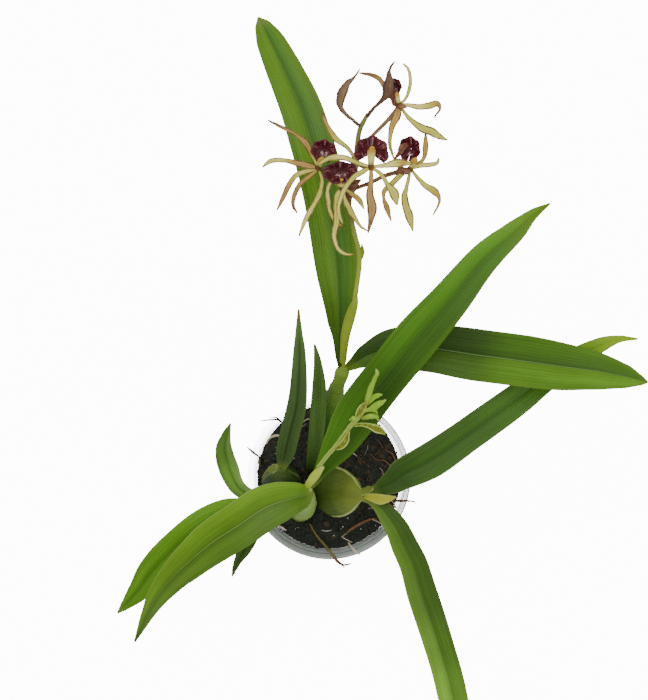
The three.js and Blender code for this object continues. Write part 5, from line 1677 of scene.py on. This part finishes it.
# Blooms
CREAM, LIME, OCHRE, TAN, BROWN = Tone
BLOOMS = (
    Bloom("middle", (24.8, 204.8, 301.5), [
        (24.8, 205.5, 301.5, 3.6), (24.9, 209, 304.5, 4.4), (25, 214, 307, 5), (25.1, 215.5, 307.5, 4)], (
        Segment([
            (25.5, 205, 301.5, 1.8), (33, 205.5, 303, 3), (41, 207, 304, 5.4, 10), (49.5, 206.5, 303, 1.2)],
            (CREAM, CREAM, CREAM, OCHRE, LIME)),
        Segment([
            (24, 205, 301.2, 1.8), (16, 207.5, 301.3, 3), (9, 210, 303, 3.6), (0, 210, 301, 3.6, 20),
            (-8.5, 206, 298, 0.9)], (CREAM, LIME, CREAM, LIME, LIME)),
        Segment([
            (24, 204.5, 301.5, 1.8), (20, 202, 303, 3.3), (14.5, 198.5, 303, 3.3), (10, 193.5, 302, 3),
            (6, 185, 299, 2.5), (5.5, 178, 295, 2.4, 30), (8, 171, 289, 0.9)], (LIME, LIME, CREAM, LIME)),
        Segment([
            (24.7, 204, 301.5, 2.4), (24.7, 197, 303, 3), (24, 188, 301, 4.8), (25.4, 180.5, 298, 6.2),
            (25, 174.5, 295, 3.8), (23.3, 166, 289, 0.9)], (OCHRE, TAN, TAN, BROWN)),
        Segment([
            (25.3, 204, 301.5, 1.8), (30, 201, 303, 2.4), (34.5, 194.5, 302, 3), (38.7, 188.7, 300, 6.2),
            (40.6, 182.3, 297, 1.2)], (LIME, LIME, LIME))), lip_base=(25, 213.2, 302.6),
        lip_tip=(0.08, 1, 0), lip_face=(0, -0.1, 1), lip_width=20.5, lip_length=20, lip_depth=5),
    Bloom("left", (-7.2, 206, 289), [
        (-7, 206.5, 289, 3.4), (-6, 208.5, 292.5, 4), (-5, 210, 296, 4.4), (-4.8, 210.5, 297, 3.4)], (
        Segment([
            (-7.8, 206.8, 289, 1.8), (-11, 213, 291, 2.5), (-14.7, 220, 293, 4.2), (-20.3, 225, 294, 2),
            (-30, 230.5, 292, 2.1), (-38, 235, 289, 0.9)], (CREAM, TAN, TAN, BROWN)),
        Segment([
            (-7.8, 206, 289, 1.8), (-13.5, 207, 290, 4.3), (-19.6, 208.3, 290, 3.8),
            (-27.6, 210.3, 289, 2.8), (-36, 210.3, 287, 3.1), (-41.6, 207, 284, 0.9)],
            (TAN, TAN, CREAM, LIME)),
        Segment([
            (-7.8, 205.5, 288.5, 1.8), (-14.7, 203.7, 288, 3.1), (-20.5, 201.8, 286, 3.2),
            (-25.3, 196, 282, 3.4), (-28.5, 190, 277, 3.1), (-33, 181.7, 271, 0.9)],
            (CREAM, LIME, TAN, TAN)),
        Segment([
            (-7.4, 205, 288.5, 1.8), (-12.3, 201.2, 286.5, 2.8), (-17.9, 197, 283.5, 3.1),
            (-22, 190, 279.5, 2.9), (-22.9, 184.2, 276, 2.2), (-20.5, 179.4, 274, 0.9)],
            (LIME, TAN, TAN, BROWN)),
        Segment([
            (-7, 205, 288.5, 1.8), (-5, 198.5, 285.5, 2.5), (-6.5, 190.5, 281.5, 3.1),
            (-10.5, 183.5, 277, 3.1), (-15, 176, 272, 3.1), (-19.4, 165.8, 266, 0.9)],
            (LIME, LIME, CREAM, LIME))), lip_base=(-3.7, 215.6, 295.5), lip_tip=(0.1, 0.8, 0.45),
        lip_face=(-0.15, -0.5, 0.85), lip_width=15.6, lip_length=14.6, lip_depth=4.5, sweep=178,
        mouth=0.02),
    Bloom("lower", (7.5, 193.5, 286.5), [
        (7.5, 194, 286.5, 3.6), (7.3, 195.8, 288.6, 4.4), (7.1, 197.4, 290.4, 4.6), (7, 198.4, 291, 3.4)], (
        Segment([
            (6.8, 194, 286.5, 1.8), (1, 197.5, 286.5, 2.4), (-1.4, 193, 283.5, 2.5), (-1, 187, 279.5, 2.8),
            (0, 180.5, 274, 2.5), (3.8, 174, 270, 1.9), (8.5, 171.5, 268, 0.9)], (LIME, CREAM, LIME)),
        Segment([
            (6.8, 193, 286, 2.5), (4.4, 189, 284.5, 3.8), (4.2, 181.5, 280.5, 4.4), (4, 173, 276, 4.4),
            (2.6, 165, 270, 3.1), (5.5, 157.5, 265, 2.5), (11, 154.5, 261, 1.9), (16, 155, 259.5, 0.9)],
            (LIME, LIME, CREAM, LIME)),
        Segment([
            (7.8, 193, 286, 1.8), (9, 188, 284.5, 2.5), (11.3, 182.6, 281, 4.3), (15, 176.8, 277, 3.1),
            (19.4, 171, 273, 1.7), (23.8, 168.6, 271, 0.9)], (CREAM, LIME, LIME)),
        Segment([
            (8.2, 194.2, 286.3, 1.8), (14, 199, 286.5, 2.5), (16, 208, 289.5, 2.4), (11, 216.5, 297, 2.4),
            (4, 221.5, 300.5, 3.6), (-0.7, 228, 303, 2.7), (-5, 237, 304, 0.9)], (TAN, CREAM, LIME, TAN)),
        Segment([
            (8.3, 193.5, 286.5, 1.8), (13, 190.5, 286, 3), (18, 186.5, 284, 3.4), (21, 181.5, 281, 0.9)],
            (LIME, OCHRE, LIME))), lip_base=(6.4, 202.6, 293.4), lip_tip=(-0.05, 0.85, 0.3),
        lip_face=(0, -0.3, 0.95), lip_width=21.5, lip_length=13.8, lip_depth=5.5, sweep=178, mouth=0.02),
    Bloom("right", (49, 205, 290), [
        (49.5, 205.5, 290, 3.4), (50.5, 208, 293, 4), (51.5, 209.5, 296.5, 4.4), (51.6, 210, 297.5, 3.4)], (
        Segment([
            (49.8, 205.3, 290, 1.8), (55, 206.8, 292, 3), (61, 207.1, 294, 3), (65, 208, 295, 2.4),
            (66.2, 211, 296, 0.9)], (CREAM, CREAM, LIME)),
        Segment([
            (49.6, 204.5, 290, 1.8), (53.8, 199.5, 289.5, 2.5), (58.6, 194.8, 288, 3.7),
            (63.7, 192, 286, 4.9), (67.1, 188.6, 283, 2.6), (67.4, 185, 281, 1.5), (64, 178, 277, 0.9)],
            (LIME, LIME, OCHRE, TAN)),
        Segment([
            (48.8, 204.4, 289.5, 1.8), (48.4, 200.5, 289, 2.2), (47, 194.2, 286, 2.6),
            (46, 189.2, 283, 4.3), (47, 183.4, 279, 5), (49.2, 177.6, 275, 5.4), (52, 168.8, 268, 0.9)],
            (LIME, LIME, LIME, LIME)),
        Segment([
            (48.5, 205, 290.5, 1.8), (43.5, 201.5, 291, 3.4), (38, 196, 290, 3.6), (33.5, 192, 287, 3),
            (33, 188, 284, 2), (35, 182.7, 280, 3.7), (38, 174.5, 275, 0.9)], (LIME, LIME, OCHRE, TAN)),
        Segment([
            (49.8, 205.8, 290, 1.8), (57, 211, 289.5, 2.4), (58.5, 219, 289, 3.7), (58.5, 226.4, 289, 1.4)],
            (LIME, OCHRE, OCHRE))), lip_base=(48.7, 216.8, 293), lip_tip=(0.1, 0.95, 0.2),
        lip_face=(-0.35, -0.2, 0.9), lip_width=14, lip_length=15.2, lip_depth=5, sweep=178, mouth=0.02,
        spout=[
            (47.4, 219.5, 293, 2.4), (44.6, 218, 294, 3.6), (42.6, 214.6, 293.6, 3),
            (39.2, 210.6, 292, 0.9)]),
    Bloom("top", (42, 243, 296.5), [
        (42, 243.5, 296.5, 3.2), (41.2, 246, 297.5, 3.6), (40.6, 249, 298.5, 4), (40.5, 250, 298.8, 3.2)], (
        Segment([
            (42.6, 243.6, 296.8, 1.8), (46, 247, 298, 1.9), (48, 252.5, 300, 2.2), (48.5, 257.5, 301, 2.2),
            (47.1, 264, 302, 1.8), (44, 267.3, 302, 0.9)], (LIME, LIME, CREAM)),
        Segment([
            (42.8, 243, 296.5, 1.8), (46.7, 243, 297, 2.4), (53.7, 241.8, 297, 3.6),
            (60.2, 242.8, 295, 4.3), (65.3, 244.3, 293, 3.7), (67.2, 241.9, 291, 1.6),
            (63.7, 236.6, 289, 0.9)], (CREAM, CREAM, OCHRE, BROWN)),
        Segment([
            (42.6, 242.4, 296, 1.8), (46.8, 236.7, 295, 2.4), (51.2, 232.6, 294, 3.7),
            (56.2, 229.5, 292, 5.2), (62.2, 227.8, 289, 5.5), (67, 225.5, 286, 3.7),
            (72.2, 223.7, 283, 0.9)], (LIME, LIME, LIME, LIME)),
        Segment([
            (42, 242, 296, 2.4), (40.5, 236.5, 296.5, 5.4), (38, 231, 295.5, 4), (36.8, 225.8, 293, 2.8),
            (36.7, 219.4, 290, 2.2), (39.4, 211.3, 286, 0.9)], (TAN, OCHRE, LIME, LIME)),
        Segment([
            (41.2, 243.4, 296.6, 1.8), (37.5, 247.5, 295, 2.4), (33.5, 254, 293.5, 3), (30, 259.5, 293, 3),
            (25.6, 261.8, 293, 2.7), (17.7, 263.4, 292, 0.9)], (TAN, TAN, BROWN))),
        lip_base=(39.4, 254, 299.1), lip_tip=(-0.15, 0.95, 0.1), lip_face=(-0.3, -0.2, 0.9), lip_width=8.6,
        lip_length=9.6, lip_depth=3, sweep=178, mouth=0.02, spout=[
        (39.3, 252, 299, 3.5), (38.4, 248, 298.8, 3.2), (38.6, 243.5, 298, 2.2), (40.4, 242.3, 297, 1)]),
)

# Buds at the stem's tip
BUDS = (
    Bud("bud_left", [
        (18.6, 231, 289.5, 2), (14, 234, 296, 2.1), (9.7, 237, 299, 2.2), (6.3, 241.2, 301, 3.2),
        (6.3, 245.4, 303, 5.2), (7.7, 249.6, 305, 5.8), (10.4, 254.5, 306, 3.6), (14.3, 258, 307, 1.8),
        (18, 263, 308, 0.8)],
        BudFinish("bud_tan",
            colours((0.0, 116, 86, 60), (0.2, 138, 112, 76), (0.35, 112, 80, 58), (0.6, 100, 92, 50),
                (0.8, 104, 74, 54), (1.0, 116, 86, 60)))),
    Bud("bud_right", [
        (22, 236.5, 291.5, 2), (27, 241.5, 298, 2.1), (31, 244.8, 301, 2.5), (34, 248.5, 304, 5),
        (34.8, 252.5, 306, 6.2), (35.3, 257.5, 308, 4.2), (35.6, 262.5, 310, 1.6), (38.8, 267, 311, 0.8)],
        BudFinish("bud_taupe",
            colours((0.0, 126, 104, 76), (0.15, 112, 84, 60), (0.32, 98, 64, 50), (0.55, 94, 74, 58),
                (0.85, 118, 98, 72), (1.0, 126, 104, 76)))),
)

# Young spike and the yellow bract
YOUNG_SHEATH = [(-15.5, -1.5, 164, 4), (-14, 2, 174, 5), (-10, 8, 182, 6), (-5, 15, 190, 3.8)]
YOUNG_STEM = [
    (-7.6, 14.6, 189, 2.4), (-1.7, 22.9, 199, 2.8), (3, 28.6, 205, 2.8), (7.6, 35.3, 211, 2.6),
    (11.5, 40.9, 216, 2.8), (15.4, 46.1, 220, 3), (19.9, 50.9, 225, 2.8), (23.7, 55.7, 229, 2.4)]
YOUNG_BUDS = (
    [
        (23.7, 57.5, 230, 3.0), (24.9, 63, 234, 4.1), (26.4, 69.5, 238, 3.4), (28.9, 75.5, 241.5, 2.6),
        (30.4, 79.4, 244, 2.6), (29.7, 82, 245, 0.9)],
    [(25, 59, 231, 2.2), (28.5, 63, 234, 3.2), (31.3, 65, 236, 3), (33.9, 65.4, 237, 0.9)],
    [(24.5, 54.4, 229.5, 2.2), (29.5, 57.4, 232, 4.6), (33.3, 60, 234, 3.6), (36.5, 61.8, 235, 0.9)],
    [(21.5, 49.5, 226.5, 2.2), (27, 51.2, 230, 3.8), (30.2, 50.8, 230, 3.4), (31.9, 48.1, 227.5, 0.9)],
    [(19, 48.8, 223, 2), (16, 49.3, 224, 3.2), (13.1, 48.2, 223, 0.9)],
    [(22.6, 53.5, 228, 2), (25.6, 55.6, 231, 3), (28.8, 55, 231.6, 2.8), (31, 53, 230.5, 1)],
)
YOUNG_BRACTS = (
    [
        (4.3, 28.3, 206.5, 2), (7.9, 30.6, 210, 4.6), (10.6, 34.2, 213.5, 4.8), (11.9, 38, 216.5, 2.8),
        (13.1, 41.2, 218, 1)],
    [(17.6, 49, 223.5, 2), (19.5, 53.3, 227, 4.6), (21.7, 57, 230.5, 5), (23.6, 60.4, 233, 1)],
    [
        (16.1, 44.6, 219.5, 2), (21.3, 45.2, 222, 2.4), (26.5, 44.2, 222.5, 3.8), (30.5, 42.5, 221.5, 5.4),
        (34.2, 40.8, 219.5, 3.8), (36.9, 38.6, 217.5, 1)],
)
YELLOW_BRACT = [
    (24.2, -8.2, 150.8, 3), (27.4, -8.6, 157.5, 4.5), (31.8, -9.2, 161, 6.2), (36, -9.7, 163.5, 7.4),
    (41, -9.1, 165, 5), (46.5, -7.9, 165.5, 1.2)]

# Roots, each with the tints of its finish from start to end
ROOTS = (
    ("root_front", (0.64, 0.7, 0.72, 0.62, 0.4), [
        (-14.4, -35, 94, 1.3), (-9.6, -43, 94.8, 1.7), (-3, -50, 101, 1.8), (1, -54, 106.8, 2),
        (3.6, -57.6, 107.5, 2), (6.8, -62.2, 103.4, 1.9), (11, -64.4, 101.6, 1.6), (16.2, -63.6, 101, 1)]),
    ("root_fork", (0.64, 0.4, 0.2), [
        (1.6, -55.6, 107.4, 1.3), (4.5, -58.7, 108.1, 1.5), (8.2, -62.3, 107.2, 1.4),
        (11.2, -66, 104.5, 0.8)]),
    ("root_rusty", (0.9, 0.5, 0.45, 0.5), [
        (9.7, -44.6, 94, 1.2), (15.6, -39.6, 94.2, 2), (21.6, -35.9, 94.4, 2.2), (27.5, -32.9, 94.3, 2.2),
        (33.5, -31.4, 94.2, 1.8), (38.4, -34.8, 94, 1)]),
    ("root_arc", (0.95,), [
        (-46.5, 25, 94, 1.2), (-44, 28.5, 94.3, 1.8), (-39.5, 30.6, 94.5, 2), (-33.5, 29.6, 94.2, 1.4)]),
    ("root_east", (0.35, 0.45, 0.5), [
        (41, -20, 94, 1.2), (46, -18.4, 94.4, 1.8), (50.2, -17.3, 99.5, 1.8), (53.8, -16.7, 105.6, 1.7),
        (57.8, -16.6, 106.8, 1.6), (61.2, -17.1, 105.8, 1.3), (64, -18, 104.5, 0.8)]),
)

# Litter on the bark: pale and rusty bits, each with its tint. The last pale sliver, over the brown bits, is
# a painted glint.
LITTER = (
    ([(-38, -35.8, 96.5, 1.2), (-35, -37.6, 97, 2.2), (-32, -39.5, 96.5, 1.2)], 1.0),
    (
        [
            (14.5, -48.6, 97.5, 1.2), (17.5, -52, 104.5, 2.2), (20.5, -54.5, 106.8, 2.2),
            (22.6, -56, 106.8, 1.4)], 0.98),
    ([(9.7, -44.7, 96.4, 0.6), (13.5, -46.6, 97, 0.8), (17.1, -48.4, 96.6, 0.5)], 0.95),
    ([(32, -31.3, 96, 0.6), (36, -33.2, 96.8, 0.8), (40.1, -35.8, 96.2, 0.5)], 0.92),
    ([(-20, 40, 96.4, 0.8), (-15.6, 43, 97.2, 1.2), (-12.6, 41.5, 96.6, 0.8)], 0.88),
    ([(-5.2, -39.5, 96.2, 0.6), (-2, -40, 96.6, 0.9), (1.5, -39.4, 96.2, 0.6)], 0.95),
    ([(15.6, 18.4, 96.6, 0.7), (18, 17.4, 97, 1.0), (20.8, 15.5, 96.6, 0.7)], 0.92),
    ([(42, 19.8, 96, 1.0), (47, 17, 97, 1.5), (49.5, 11, 97, 1.3), (50.4, 5.4, 96, 0.8)], 0.42),
    ([(40, 13, 96, 0.9), (45, 9, 97, 1.3), (48, 3, 96.6, 1.0), (46, -4, 96, 0.7)], 0.46),
    ([(34.2, 28.8, 96, 1.0), (37.5, 25.6, 97, 1.5), (40.1, 21.4, 96.4, 1.0)], 0.34),
    ([(30, 18, 96, 0.8), (35, 13, 96.8, 1.1), (41, 12, 96.3, 0.8)], 0.36),
    (
        [
            (-30, 38, 95.5, 0.9), (-33, 40, 102, 1.2), (-38.6, 43, 106.4, 1.3), (-46, 42.6, 107, 1.1),
            (-50.8, 42, 106.4, 0.6)], 0.05),
    (
        [(-31.5, 36.5, 95.5, 0.8), (-34, 39.6, 102, 1), (-38.4, 44.4, 106.2, 1.1), (-44, 44.8, 106.6, 0.6)],
        0.08),
    (
        [(-48.6, 13, 95.5, 0.9), (-52.2, 15.8, 101, 1.2), (-55.6, 18.8, 106.4, 1.9), (-60, 22.6, 106, 1)],
        0.2),
    ([(-51.4, 15, 96, 1.2), (-51.6, 11.5, 96.8, 2.0), (-51.2, 8, 96, 1.2)], 0.66),
    ([(43, -13, 96, 1.6), (46, -15, 97, 2.6), (49, -18, 96.6, 1.6)], 0.52),
    ([(43.5, -19, 96, 1.2), (47, -21.5, 97, 2.0), (50, -22.5, 96.2, 1.0)], 0.42),
    # A thin pale sliver lying on the brown bits above: a painted glint.
    ([(45.5, -16.5, 97.5, 0.6), (48.6, -20.2, 98.2, 0.9), (49.6, -22.6, 97.6, 0.5)], 0.97),
)

# Old leaf bases that wrap the bulbs: the bulb, the way each looks, and its stations
COLLARS = (
    ("bulb_east", (0.2, 0.5, 0.8), [
        (19.5, -4.5, 148, 5), (23.5, -4.4, 152, 8), (27.5, -3.4, 155.4, 6), (31, -2.8, 157.6, 2.5)]),
    ("bulb_east", (0.2, -0.5, 0.8), [
        (20, -10.5, 148, 4), (24.5, -11, 152.2, 7), (28.5, -11.6, 154.6, 6), (32, -13.6, 156.8, 2.5)]),
    ("bulb_west", (-0.6, 0.4, 0.7), [
        (-50, -3, 98, 6), (-48.2, 2.5, 109, 9.5), (-43.6, 7.2, 121, 9.5), (-39, 9.8, 129, 6),
        (-36, 11.4, 133, 1.5)]),
)


def build_bracts() -> None:
    """Build and dress the yellow bract and the old leaf bases that wrap the bulbs."""
    sculpt = Sculpt("yellow_bract_blade")
    Strap(YELLOW_BRACT, rows=50, columns=20, fold=0.4, wave=0.2, bulge=0.08).build(sculpt)
    finish = SheathFinish("bract_yellow", srgb(180, 184, 56), srgb(194, 194, 112), lines=9)
    sculpt.finish([finish.material()], "sheath", ["yellow_bract"], thickness=0.5)
    worn = SheathFinish("bulb_collar", srgb(116, 130, 50), srgb(166, 176, 108), lines=7).material()
    for number, (bulb, face, stations) in enumerate(COLLARS):
        wrap = Sculpt(f"{bulb}_collar_{number}")
        Strap(stations, rows=36, columns=18, fold=-0.4, face=face, wave=0.2).build(wrap)
        wrap.finish([worn], "bulb", [bulb], thickness=0.4)


def build_roots() -> None:
    """Build and dress the roots that lie on the bark."""
    finish = RootFinish().material()
    for name, tints, stations in ROOTS:
        sculpt = Sculpt(f"{name}_skin")
        Tube(stations, rows=90, columns=20, wrinkle=0.3, grain=0.7, ridges=5, ridge_height=0.08,
             rings=(0.3, 0.55, 0.8)).build(sculpt, *tints)
        sculpt.finish([finish], "root", [name])


def main() -> None:
    """Build every sub-assembly in order."""
    logging.basicConfig(level=logging.INFO, format="%(name)s %(message)s")
    Studio().build()
    pot = NurseryPot()
    pot.build()
    BarkMix(pot).build()
    for bulb in BULBS:
        bulb.build()
    under = LeafUnderFinish().material()
    for number, leaf in enumerate(LEAVES):
        leaf.build(under, 1.3 * number)
    FlowerStem(STEM, STALKS, KNOTS, STEM_BRACT, SPATHE, BLUSH).build()
    tepal = TepalFinish("tepal_cream").material()
    column = ColumnFinish().material()
    lip = LipFinish().material()
    for bloom in BLOOMS:
        bloom.build(tepal, column, lip)
    for bud in BUDS:
        bud.build()
    YoungSpike(YOUNG_SHEATH, YOUNG_STEM, YOUNG_BUDS, YOUNG_BRACTS).build()
    build_bracts()
    build_roots()


if __name__ == "__main__":
    main()
